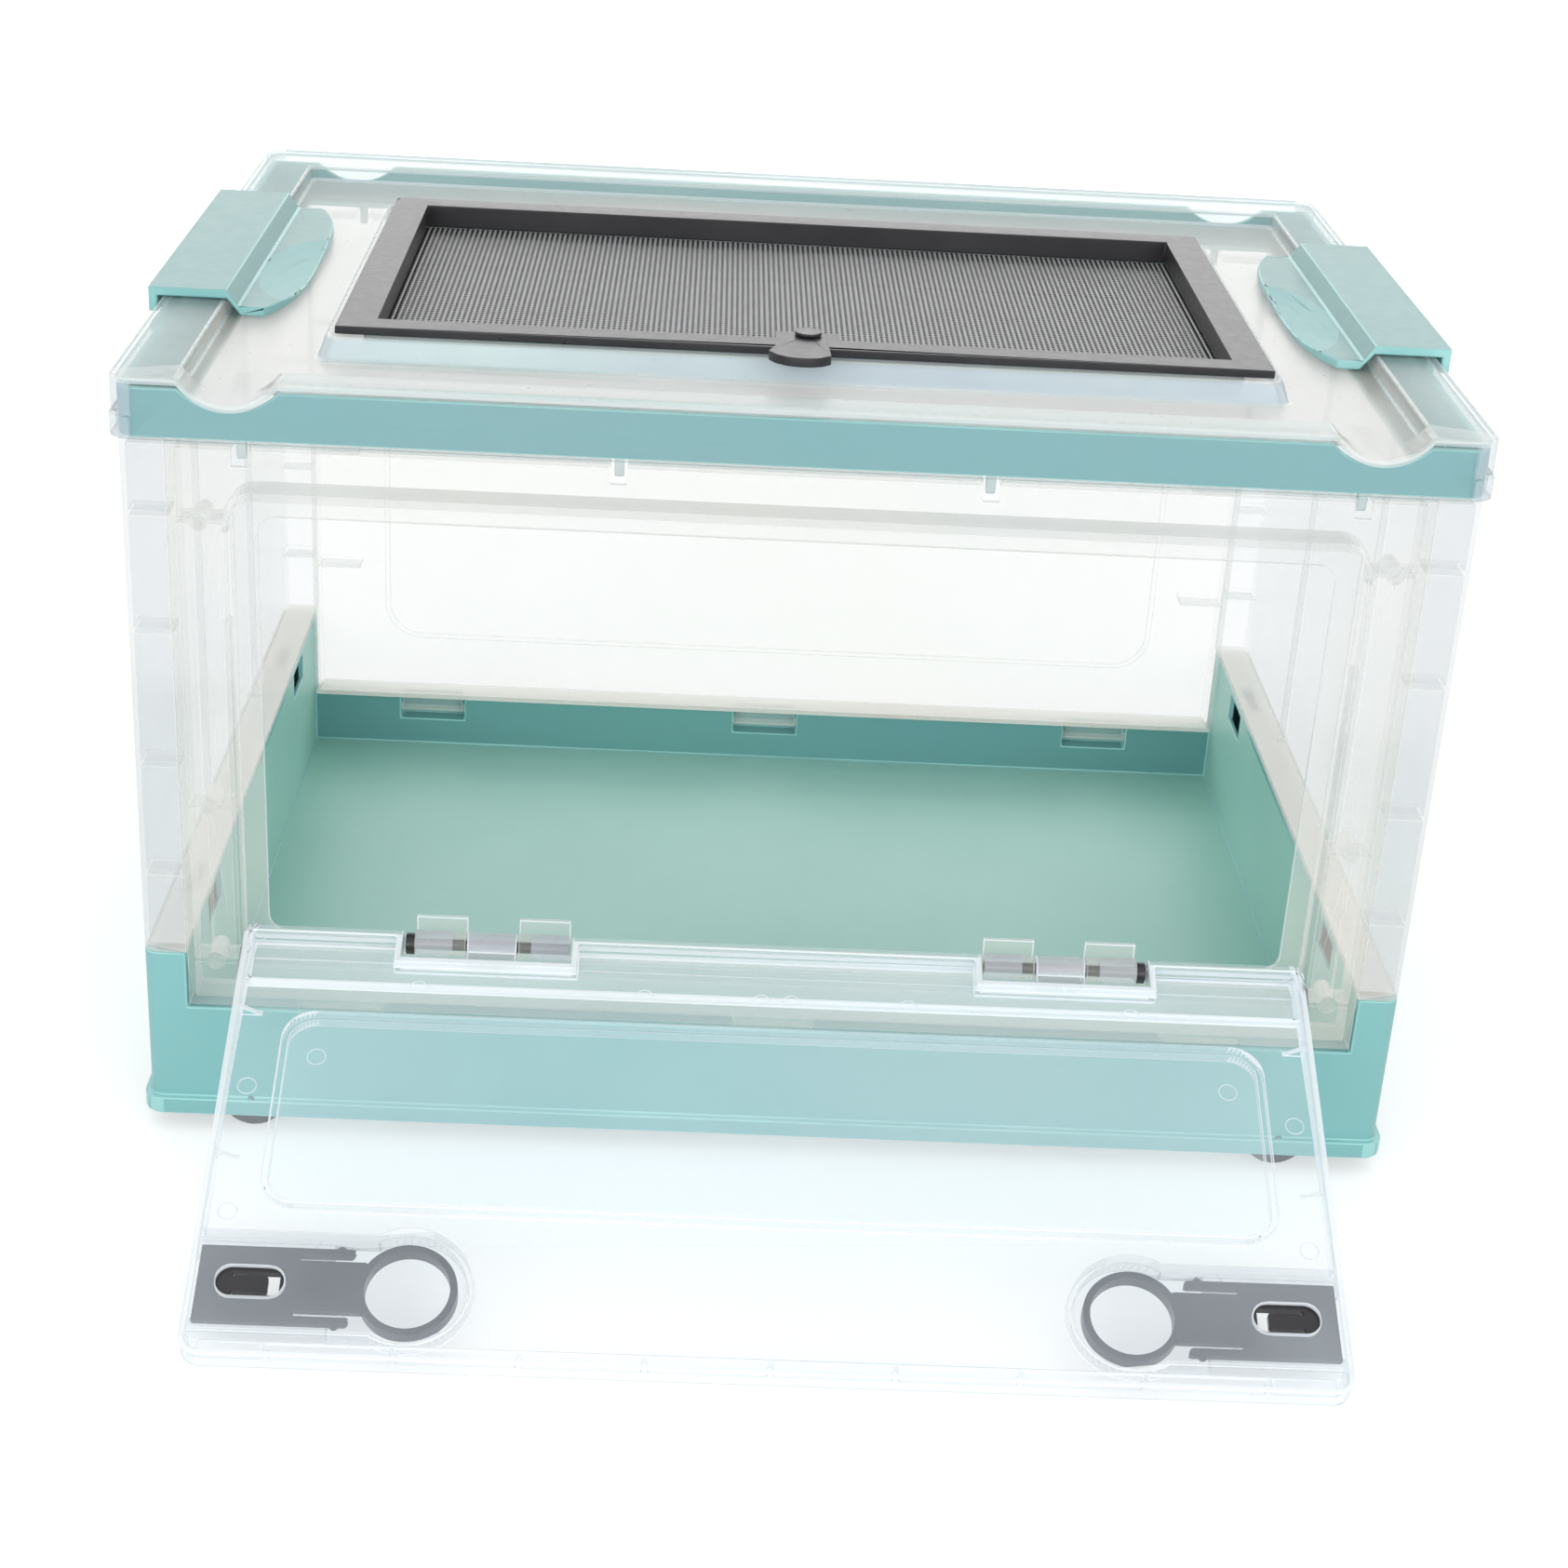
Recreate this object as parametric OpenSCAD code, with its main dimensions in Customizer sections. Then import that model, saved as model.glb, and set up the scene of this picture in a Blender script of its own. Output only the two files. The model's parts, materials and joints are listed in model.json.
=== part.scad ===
// Folding pet keeper: a base tray carries four hinged wall panels, a top frame and a clear lid
// trap the panels' upper edges, and two side clamps hold the lid down. The front panel has a
// drop-down door with two slide latches, the lid has a mesh hatch, and four wheels carry the base.
// X runs to the right, Y to the back, Z up. The origin is on the ground under the base's centre.

/* [Case] */
// Width over the side panels
case_w = 425.4; // [400:0.2:450]
// Depth over the front and rear panels
case_d = 312.4; // [296:0.2:340]
// Height of the base's underside above the ground
ground_gap = 6.4; // [5.6:0.1:7.4]
// Height of the side panels above the base's side walls
side_panel_h = 180; // [170:1:200]
// Corner radius of the case in plan
corner_r = 5; // [3:0.5:8]
// Wall thickness of the mouldings
wall = 2.2; // [1.8:0.1:2.6]
// Thickness of inner skins and ribs
rib_t = 2; // [1.4:0.1:2.4]

/* [Clearances] */
// Gap between fixed pieces that meet
seat_gap = 0.3; // [0.2:0.1:0.5]
// Gap beside pieces that move
move_gap = 0.6; // [0.5:0.1:1]
// Radial clearance of a pin in its bore
pin_fit = 0.08; // [0.03:0.01:0.1]

/* [Base] */
// Height of the base under the rear panel
rear_wall_h = 26; // [24:0.5:32]
// Rise from the front wall to the side walls
side_step = 20.6; // [16:0.2:26]
// Depth of the front and rear walls of the base
end_wall = 9.6; // [9.4:0.1:11]
// Height of the floor above the underside
floor_h = 4; // [3.4:0.2:6]
// Height of the bead round the foot of the base
bead_h = 6; // [5:0.5:8]
// How far the bead stands out
bead_out = 2.3; // [1:0.1:4]

/* [Panels] */
// Depth of a wall panel, front to back
panel_depth = 14.7; // [14:0.1:16]
// Distance of the outer hinge hooks from a panel's edge
hook_inset = 50.7; // [50:0.1:60]
// Width of a hinge hook
hook_w = 26; // [20:1:26]
// Radius of a panel's hinge bar
bar_r = 2; // [1.6:0.1:2.2]
// Distance from a wall's top down to the hinge bar
bar_drop = 6; // [5.6:0.1:7]
// Gap between a hinged panel and the wall under it
panel_foot_gap = 1.4; // [1.2:0.1:2]

/* [Door] */
// Height of the door above its hinge axis
door_l = 155.3; // [150:0.1:156]
// Thickness of the door over its rim
door_t = 8.6; // [8:0.1:9.2]
// Distance of the door's side from the panel's edge
door_inset = 18.9; // [17:0.1:24]
// Height of the hinge axis above the base's front wall
door_axis_h = 25.7; // [24:0.1:30]
// Width of the ledge behind the door's rim
ledge_w = 8.2; // [7:0.1:10]
// Distance of each door hinge from the middle
hinge_x = 96; // [86:1:106]
// Radius of a door hinge knuckle
knuckle_r = 4.6; // [4.4:0.1:5]
// Radius of the door hinge pin
door_pin_r = 1.9; // [1.6:0.1:2.2]

/* [Latches] */
// Outer radius of a latch's finger ring
ring_r = 15.4; // [14:0.1:15.8]
// Radius of the finger hole
ring_hole_r = 13.1; // [11:0.1:13.4]
// Distance from the ring's centre to the door's side
latch_reach = 66.8; // [64:0.1:70]
// Distance from the ring's centre to the door's free edge
latch_edge = 25.4; // [25:0.1:30]
// Height of a latch's plate
latch_h = 26; // [24:0.2:27]

/* [Lid] */
// How far the lid stands out past the walls
lid_over = 2.3; // [2.1:0.1:4]
// Depth of the lid's skirt
skirt_h = 19.8; // [18:0.2:24]
// Width of the raised border at each end of the lid
end_border = 21.5; // [20:0.5:24]
// Depth of the raised front border
front_border = 12.5; // [11:0.5:15]
// Depth of the raised rear border
rear_border = 26.5; // [22:0.5:30]
// Depth of the lid's recessed field
field_drop = 5.9; // [5:0.1:7]
// Width of a finger scoop in the lid's front edge
scoop_w = 30; // [26:0.5:32]
// Depth of a finger scoop
scoop_drop = 8; // [7:0.1:9]
// Distance of each finger scoop's middle from the lid's side
scoop_inset = 37; // [36:0.5:41]

/* [Hatch] */
// Width of the hatch frame
hatch_w = 303.6; // [280:0.2:310]
// Front edge of the hatch
hatch_front = -107.4; // [-110:0.2:-100]
// Rear edge of the hatch
hatch_rear = 69.1; // [60:0.2:74]
// Width of the hatch frame's side bars
hatch_side_bar = 12.4; // [11:0.2:16]
// Width of the front bar
hatch_front_bar = 11; // [10:0.2:14]
// Width of the rear bar
hatch_rear_bar = 11; // [10:0.2:15]
// Depth of the well that holds the mesh
well_drop = 10; // [9:0.1:11.6]
// Height of the raised coaming under the hatch
coaming_h = 7.1; // [6:0.1:9]
// Width of the coaming outside the hatch
coaming_out = 3; // [2:0.2:5]
// Width of the turn knob
knob_w = 20; // [16:0.5:24]
// Length from the knob's pivot to its tip
knob_l = 27; // [24:0.5:30]
// Angle that the closed knob is turned by
knob_angle = 8; // [0:1:12]

/* [Clamps] */
// Length of a side clamp
clamp_l = 140; // [124:1:150]
// Thickness of a side clamp
clamp_t = 3; // [2.6:0.1:3.4]
// How far the clamp's finger tab reaches in from the lid's border
tab_reach = 21.7; // [18:0.1:25]
// How far the finger tab's ends curve back from its tip
tab_bow = 9; // [5:0.5:12]
// Radius of the clamp's pivot pin
clamp_pin_r = 1.5; // [1.2:0.1:1.8]

/* [Wheels] */
// Radius of a wheel
wheel_r = 11; // [9:0.5:11.5]
// Width of a wheel
wheel_w = 4.4; // [3.8:0.1:4.6]
// Distance of each wheel from the case's side
wheel_inset = 34.7; // [31:0.1:35.2]
// Radius of a wheel's axle
axle_r = 1.6; // [1.2:0.1:2]

/* [Hidden] */
$fn = 48;
cut = 1;

half_w = case_w / 2;
half_d = case_d / 2;
panel_lap = 0.5;
side_in = half_w - panel_depth + panel_lap;
end_in = half_d - end_wall;

// Heights of the base
under_z = ground_gap;
floor_z = under_z + floor_h;
floor_t = 2.4;
rear_top = under_z + rear_wall_h;
front_top = rear_top + panel_depth + seat_gap;
side_top = front_top + side_step;

// Wall panels
panel_half_w = half_w - panel_depth - seat_gap;
side_foot = side_top + seat_gap;
side_head = side_foot + side_panel_h;
end_head = side_head - panel_foot_gap;
front_foot = front_top + panel_foot_gap;
rear_foot = rear_top + panel_foot_gap;
bar_inset = 6.2;
bar_y = half_d - bar_inset;
bar_end = 3.6;
hook_pitch = panel_half_w - hook_inset;
hook_block = hook_w / 2 + bar_end + wall;
hook_side_gap = 1;
hook_floor_drop = 4.5;
front_bar_z = front_top - bar_drop;
rear_bar_z = rear_top - bar_drop;
post_ribs = [0.86, 0.64, 0.38, 0.16];
post_rib_t = 1.6;
post_rib_l = 12;
thin_rib_t = 1.4;
stile_boss_r = 3;
rear_rib_l = 20;
emboss_inset = 29.7;
emboss_foot = 24;
emboss_head = 22;
emboss_line = 2;
emboss_r = 16;
side_rib_y = 52;
side_hook_x = half_w - 8;
side_hook_y = 100;
side_hook_w = 24;
side_hook_t = 4;
side_hook_h = 12;
side_lip = 3;
side_rib_d = 3;

// Locating ribs of the top frame
rib_x = [58, panel_half_w - 22.7];
rib_drop = 7.2;
rib_w = 3;
rib_depth = 9;
rib_set = 3;
rib_tip = 1.5;
notch_gap = 1.2;
frame_foot_w = 9;
frame_side_w = 16;
panel_in = half_d - panel_depth;

// Door opening and door, in the panel's closed position
axis_y = -half_d + door_t / 2;
axis_z = front_top + door_axis_h;
door_half_w = panel_half_w - door_inset;
door_head = axis_z + door_l;
jamb_x = door_half_w + 1;
door_head_gap = 0.7;
jamb_head = door_head + door_head_gap;
sill_z = axis_z - 8;
rebate_y = -half_d + door_t + move_gap;
jamb_r = 8;
jamb_foot_r = 2;
open_r = 6;
open_x = jamb_x - ledge_w;
open_head = jamb_head - ledge_w;
door_r = 6;
knuckle_w = 17;
door_knuckle_w = 16.6;
hinge_half = knuckle_w + door_knuckle_w / 2 + move_gap;
pin_head_t = 3;
pin_head_r = 3.6;
pocket_rise = 8.5;
door_back = door_t / 2;
plateau_rise = 5;
plateau_x = door_half_w - 17;
plateau_low = 30;
plateau_high = 102;
strip_rise = 3.4;
strip_top = 18;
strip_foot = 6;
plateau_r = 11;
pocket_gap = 1;
gusset_z = [29, 84];
gusset_l = 9;
door_rib_pitch = 38.2;
door_edge_w = 5;

// The open door's free edge comes down to just above the ground
door_ground_gap = 0.3;
door_swing = sqrt(pow(door_l, 2) + pow(door_back, 2));
door_angle = acos((door_ground_gap - axis_z) / door_swing) - atan(door_back / door_l);

// Latches, in the closed door's frame
latch_z = door_l - latch_edge;
ring_x = door_half_w - latch_reach;
ring_sink = 0.2;
latch_end = door_half_w - rib_t - 0.4;
plate_t = 2.5;
plate_out = door_back - 1;
plate_in = plate_out + plate_t;
recess_gap = 0.4;
recess_floor = plate_in + recess_gap - door_back;
recess_r = ring_r + 3;
recess_half = latch_h / 2 + 2.6;
latch_body_inset = 32.9;
latch_body_x = door_half_w - latch_body_inset;
neck_half = 8.6;
arm_h = 2.8;
window_half = 5;
window_out = 29.3;
window_in = 8.4;
recess_skin = 1.8;
guide_w = 5;
arm_l = 15.5;
arm_bulge = 0.9;
tongue_gap = 1.2;
tongue_x = 24.2;
tongue_slot_x = 13;
tongue_half = 2.5;
plate_slot = [plate_out - 1.6 - door_back, plate_in + 1.2 - door_back];

// Top frame and lid
frame_foot = side_head + seat_gap;
lid_w = case_w + 2 * lid_over;
lid_d = case_d + 2 * lid_over;
lid_skin = 2;
lid_foot = frame_foot;
lid_top = lid_foot + skirt_h;
lid_under = lid_top - wall;
field_z = lid_top - field_drop;
pan_z = field_z - wall;
field_x = lid_w / 2 - end_border;
field_front = -lid_d / 2 + front_border;
field_rear = lid_d / 2 - rear_border;
frame_w = lid_w - 2 * (lid_skin + move_gap);
frame_d = lid_d - 2 * (lid_skin + move_gap);
frame_head_gap = 2;
frame_head = lid_under - frame_head_gap;
scoop_r = (pow(scoop_w / 2, 2) + pow(scoop_drop, 2)) / (2 * scoop_drop);
scoop_z = lid_top - scoop_drop + scoop_r;
scoop_x = lid_w / 2 - scoop_inset;
skirt_step_z = lid_foot + 6.9;
skirt_step = 0.5;
lid_r = corner_r + lid_skin;

// Hatch, its coaming and its hinge
hatch_d = hatch_rear - hatch_front;
hatch_mid = (hatch_rear + hatch_front) / 2;
coaming_z = field_z + coaming_h;
coaming_r = 5;
hatch_under = coaming_z + seat_gap;
hatch_t = 2.6;
hatch_top = hatch_under + hatch_t;
well_z = hatch_top - well_drop;
well_x = hatch_w / 2 - hatch_side_bar + rib_t;
well_front = hatch_front + hatch_front_bar - rib_t;
well_rear = hatch_rear - hatch_rear_bar + rib_t;
mesh_t = 0.6;
retainer_w = 4;
retainer_t = 1.4;
mesh_z = well_z + retainer_t;
hatch_r = 4;
hatch_pin_r = 1;
hatch_ear_r = 2.2;
hatch_axis_y = hatch_rear + coaming_out + move_gap + hatch_ear_r;
hatch_axis_z = coaming_z - 1.5;
hatch_ear_x = 90;
hatch_ear_w = 12;
lid_ear_w = 5;
knob_y = hatch_front + 4.4;
knob_t = 3;
knob_z = 0.3;
knob_neck_r = 6;
knob_tip_l = 5.6;
knob_tip_r = (pow(knob_w / 2, 2) + pow(knob_tip_l, 2)) / (2 * knob_tip_l);
knob_plate = 20.6;
knob_plate_l = 7.4;
knob_plate_t = 2;
rivet_r = 1.8;
rivet_head_r = 4.4;
rivet_head_t = 1;
rivet_deep = 2.2;

// Clamps
clamp_knuckle_r = 3.2;
clamp_gap = 1.1;
clamp_z = lid_top + move_gap;
clamp_x = lid_w / 2 + clamp_knuckle_r + clamp_gap;
clamp_out = lid_w / 2 + move_gap + clamp_t;
clamp_axis_z = lid_foot + 4;
clamp_knuckle_w = 24;
clamp_foot_gap = 0.6;
clamp_foot_z = clamp_axis_z + clamp_knuckle_r + clamp_foot_gap;
clamp_end_z = clamp_foot_z + 7.2;
clamp_in = field_x - 0.5;
clamp_slope = 4;
tab_bow_power = 4;
lug_w = 10;
lug_y = [-46, 0, 46];
lug_room = 7;
tab_gap = 1;
tab_z = field_z + tab_gap;

// Wheels
wheel_gap = 0.4;
wheel_x = half_w - wheel_inset;
wheel_y = half_d - wall - wheel_gap - wheel_w / 2;
axle_lap = 0.6;
axle_head = 0.8;

green = [0.53, 0.76, 0.73];
clear = [0.9, 0.94, 0.96, 0.55];
black = [0.13, 0.13, 0.14];
steel = [0.7, 0.71, 0.73];

// Shapes that repeat
module block(x0, x1, y0, y1, z0, z1) {
  translate([x0, y0, z0]) cube([x1 - x0, y1 - y0, z1 - z0]);
}

module rounded_rect(w, d, r) {
  square([w - 2 * r, d], center = true);
  square([w, d - 2 * r], center = true);
  for (sx = [-1, 1], sy = [-1, 1])
    translate([sx * (w / 2 - r), sy * (d / 2 - r)]) circle(r);
}

module slab(w, d, z0, z1, r, y = 0) {
  translate([0, y, z0]) linear_extrude(z1 - z0) rounded_rect(w, d, r);
}

// A rounded plate that stands in the XZ plane
module upright(x0, x1, z0, z1, y0, y1, r) {
  translate([(x0 + x1) / 2, y1, (z0 + z1) / 2]) rotate([90, 0, 0])
    linear_extrude(y1 - y0) rounded_rect(x1 - x0, z1 - z0, r);
}

module rod_x(x0, x1, y, z, r) {
  translate([x0, y, z]) rotate([0, 90, 0]) cylinder(h = x1 - x0, r = r);
}

module rod_y(x, y0, y1, z, r) {
  translate([x, y0, z]) rotate([-90, 0, 0]) cylinder(h = y1 - y0, r = r);
}

// Keeps the right-hand piece or mirrors it to the left
module on_side(s) {
  mirror([s < 0 ? 1 : 0, 0, 0]) children();
}

// Keeps the rear piece or mirrors it to the front
module on_end(s) {
  mirror([0, s < 0 ? 1 : 0, 0]) children();
}

// Base
module base_walls() {
  slab(case_w + 2 * bead_out, case_d + 2 * bead_out, under_z, under_z + bead_h, corner_r + bead_out);
  slab(case_w, case_d, under_z, rear_top, corner_r);
  intersection() {
    slab(case_w, case_d, under_z, front_top, corner_r);
    block(-half_w, half_w, -half_d, -end_in, under_z, front_top);
  }
  for (s = [-1, 1]) on_side(s) intersection() {
    slab(case_w, case_d, under_z, side_top, corner_r);
    block(side_in, half_w, -half_d, half_d, under_z, side_top);
  }
}

// Hollows of the double walls, open below, between the solid blocks at the hooks
module end_channel(top) {
  bays = [[-side_in, -hook_pitch - hook_block], [-hook_pitch + hook_block, -hook_block],
          [hook_block, hook_pitch - hook_block], [hook_pitch + hook_block, side_in]];
  for (bay = bays)
    block(bay[0], bay[1], end_in + rib_t, half_d - wall, under_z - cut, top - wall);
}

module hook_pocket(bar_z, top) {
  for (i = [-1, 0, 1]) {
    x = i * hook_pitch;
    half = hook_w / 2;
    block(x - half - hook_side_gap, x + half + hook_side_gap, end_in - cut, half_d - wall,
          bar_z - hook_floor_drop, top + cut);
    rod_x(x - half - bar_end - seat_gap, x + half + bar_end + seat_gap, bar_y, bar_z, bar_r + pin_fit);
  }
}

module base_tray() {
  color(green) difference() {
    base_walls();
    block(-side_in, side_in, -end_in, end_in, floor_z, side_top + cut);
    block(-side_in, side_in, end_in - cut, end_in, rear_top, side_top + cut);
    block(-side_in + rib_t, side_in - rib_t, -end_in + rib_t, end_in - rib_t,
          under_z - cut, floor_z - floor_t);
    end_channel(rear_top);
    on_end(-1) end_channel(front_top);
    for (s = [-1, 1]) on_side(s) {
      block(side_in + rib_t, half_w - wall, -half_d + wall, half_d - wall, under_z - cut, side_top - wall);
      for (e = [-1, 1]) {
        side_hook(e * side_hook_y, seat_gap);
        block(side_in - cut, side_in + rib_t + cut, e * side_hook_y - side_hook_w / 2,
              e * side_hook_y + side_hook_w / 2, side_top - side_hook_h - rib_t, side_top - side_lip);
      }
    }
    hook_pocket(rear_bar_z, rear_top);
    on_end(-1) hook_pocket(front_bar_z, front_top);
    for (s = [-1, 1], e = [-1, 1]) on_side(s) on_end(e)
      rod_y(wheel_x, end_in + axle_lap, half_d + axle_head, wheel_r, axle_r);
  }
}

module wheel_axles() {
  color(steel) for (s = [-1, 1], e = [-1, 1]) on_side(s) on_end(e)
    rod_y(wheel_x, end_in + axle_lap, half_d + axle_head, wheel_r, axle_r);
}

module wheel(s, e) {
  color(black) on_side(s) on_end(e) difference() {
    rod_y(wheel_x, wheel_y - wheel_w / 2, wheel_y + wheel_w / 2, wheel_r, wheel_r);
    rod_y(wheel_x, wheel_y - wheel_w, wheel_y + wheel_w, wheel_r, axle_r + pin_fit);
  }
}

// Side panels: an outer skin with an inward rim, seated on the base's side walls
module side_hook(y, grow) {
  block(side_hook_x - side_hook_t / 2 - grow, side_hook_x + side_hook_t / 2 + grow,
        y - side_hook_w / 2 - grow, y + side_hook_w / 2 + grow, side_top - side_hook_h, side_foot + cut);
}

module side_panel() {
  color(clear) {
    difference() {
      intersection() {
        slab(case_w, case_d, side_foot, side_head, corner_r);
        block(half_w - panel_depth, half_w, -half_d, half_d, side_foot, side_head);
      }
      difference() {
        block(half_w - panel_depth - cut, half_w - wall, -half_d + wall, half_d - wall,
              side_foot + wall, side_head - wall);
        for (f = post_ribs, e = [-1, 1]) {
          z = side_foot + f * side_panel_h;
          on_end(e) block(half_w - panel_depth, half_w, half_d - post_rib_l, half_d,
                          z - post_rib_t / 2, z + post_rib_t / 2);
        }
        for (e = [-1, 1])
          on_end(e) block(half_w - wall - side_rib_d, half_w, side_rib_y, side_rib_y + rib_t,
                          side_foot, side_head);
      }
    }
    for (e = [-1, 1]) side_hook(e * side_hook_y, 0);
  }
}

// Front and rear panels hang on bars that turn in the base's hook pockets
module panel_hooks(bar_z, foot) {
  for (i = [-1, 0, 1]) {
    x = i * hook_pitch;
    block(x - hook_w / 2, x + hook_w / 2, bar_y - bar_r, bar_y + bar_r, bar_z, foot + cut);
    rod_x(x - hook_w / 2 - bar_end, x + hook_w / 2 + bar_end, bar_y, bar_z, bar_r);
  }
}

module rear_panel() {
  color(clear) {
    difference() {
      block(-panel_half_w, panel_half_w, panel_in, half_d, rear_foot, end_head);
      block(-panel_half_w + rib_t, panel_half_w - rib_t, panel_in - cut, half_d - wall,
            rear_foot + rib_t, end_head - rib_t);
      rib_notches();
    }
    difference() {
      emboss_outline(0);
      emboss_outline(emboss_line);
    }
    panel_hooks(rear_bar_z, rear_foot);
    for (f = [0.28, 0.52, 0.78], s = [-1, 1]) {
      z = rear_foot + f * (end_head - rear_foot);
      on_side(s) block(panel_half_w - rear_rib_l, panel_half_w - rib_t, panel_in + 2, half_d - wall,
                       z - thin_rib_t / 2, z + thin_rib_t / 2);
    }
  }
}

// The rounded rectangle embossed on the rear panel's skin
module emboss_outline(inset) {
  x = panel_half_w - emboss_inset - inset;
  upright(-x, x, rear_foot + emboss_foot + inset, end_head - emboss_head - inset,
          half_d - wall - 1 - inset / 2, half_d - wall + inset / 2, emboss_r - inset);
}

// Notches in a panel's top edge that take the top frame's locating ribs
module rib_notches() {
  for (x = rib_x, s = [-1, 1])
    block(s * x - rib_w / 2 - notch_gap, s * x + rib_w / 2 + notch_gap, panel_in - cut, half_d + cut,
          frame_foot - rib_drop - notch_gap, end_head + cut);
}

// The rebate that the closed door sits in, with wide corners at its head only
module rebate(y0, y1, grow) {
  x = jamb_x + grow;
  upright(-x, x, sill_z - grow + jamb_r, jamb_head + grow, y0, y1, jamb_r + grow);
  upright(-x, x, sill_z - grow, axis_z + door_l / 2, y0, y1, jamb_foot_r + grow);
}

module door_opening(grow) {
  x = open_x + grow;
  upright(-x, x, axis_z - grow, open_head + grow, -half_d - cut, -panel_in + cut, open_r + grow);
}

module front_panel() {
  color(clear) difference() {
    union() {
      difference() {
        block(-panel_half_w, panel_half_w, -half_d, -panel_in, front_foot, end_head);
        block(-panel_half_w + rib_t, panel_half_w - rib_t, -half_d + wall, -panel_in + cut,
              front_foot + rib_t, end_head - rib_t);
      }
      rebate(-half_d, -panel_in, rib_t);
      for (f = [0.08, 0.37, 0.87], s = [-1, 1]) on_side(s) {
        z = front_foot + f * (end_head - front_foot);
        block(jamb_x + rib_t / 2, panel_half_w - rib_t / 2, -half_d + wall / 2, -panel_in - 2,
              z - thin_rib_t / 2, z + thin_rib_t / 2);
        rod_y((jamb_x + panel_half_w) / 2, -half_d + wall / 2, -panel_in, z, stile_boss_r);
      }
    }
    difference() {
      rebate(-half_d - cut, -panel_in + cut, 0);
      difference() {
        block(-jamb_x - cut, jamb_x + cut, rebate_y, rebate_y + rib_t, sill_z - cut, jamb_head + cut);
        door_opening(0);
      }
      for (s = [-1, 1]) on_side(s) door_knuckles();
    }
    for (s = [-1, 1]) on_side(s) {
      rod_x(hinge_x - hinge_half - cut, hinge_x + hinge_half + cut, axis_y, axis_z, door_pin_r);
      block(jamb_x - cut, jamb_x + rib_t + cut, axis_y + plate_slot[0], axis_y + plate_slot[1],
            axis_z + latch_z - latch_h / 2 - 2, axis_z + latch_z + latch_h / 2 + 2);
    }
    on_end(-1) rib_notches();
  }
  color(clear) on_end(-1) panel_hooks(front_bar_z, front_foot);
}

// The panel's two knuckles of one door hinge, on a post that rises from the sill
module door_knuckles() {
  for (s = [-1, 1]) {
    x0 = hinge_x + s * (hinge_half - knuckle_w / 2) - knuckle_w / 2;
    block(x0, x0 + knuckle_w, -half_d, rebate_y + cut, sill_z - cut, axis_z);
    rod_x(x0, x0 + knuckle_w, axis_y, axis_z, knuckle_r);
  }
}

module door_pin(s) {
  color(black) on_side(s) {
    rod_x(hinge_x - hinge_half, hinge_x + hinge_half, axis_y, axis_z, door_pin_r);
    rod_x(hinge_x + hinge_half, hinge_x + hinge_half + pin_head_t, axis_y, axis_z, pin_head_r);
  }
}

// Turns a piece of the closed door, drawn with the hinge axis as X, into the open position
module door_place() {
  translate([0, axis_y, axis_z]) rotate([door_angle, 0, 0]) children();
}

module door_shell() {
  difference() {
    upright(-door_half_w, door_half_w, -door_back, door_l, -door_back, door_back, door_r);
    upright(-door_half_w + rib_t, door_half_w - rib_t, -door_back + rib_t, door_l - rib_t,
            -door_back + rib_t, door_back + cut, door_r - rib_t);
    block(-door_half_w - cut, door_half_w + cut, -door_back - cut, door_back + cut, -door_back - cut, 0);
  }
  difference() {
    rod_x(-door_half_w + 1, door_half_w - 1, 0, 0, door_back);
    rod_x(-door_half_w, door_half_w, 0, 0, door_back - rib_t);
    block(-door_half_w, door_half_w, -door_back - cut, door_back + cut, 0, door_back + cut);
  }
  for (s = [-1, 1]) on_side(s) rod_x(door_half_w - 1 - rib_t, door_half_w - 1, 0, 0, door_back);
}

// A raised part of the door's skin: outline in X and Z, and how far its face stands in
module raised(x0, x1, z0, z1, rise, r) {
  difference() {
    upright(x0, x1, z0, z1, -door_back, -door_back + rise + rib_t, r);
    upright(x0 + rib_t, x1 - rib_t, z0 + rib_t, z1 - rib_t,
            -door_back - cut, -door_back + rise, r - rib_t);
  }
}

// Recess for a latch, open to the outside and at the door's side
module latch_recess(grow, x_end, y0) {
  y1 = recess_floor + grow;
  rod_y(ring_x, y0, y1, latch_z, recess_r + grow);
  block(ring_x, x_end, y0, y1, latch_z - recess_half - grow, latch_z + recess_half + grow);
}

module stadium_y(x0, x1, y0, y1, z, r) {
  for (x = [x0 + r, x1 - r]) rod_y(x, y0, y1, z, r);
  block(x0 + r, x1 - r, y0, y1, z - r, z + r);
}

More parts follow.
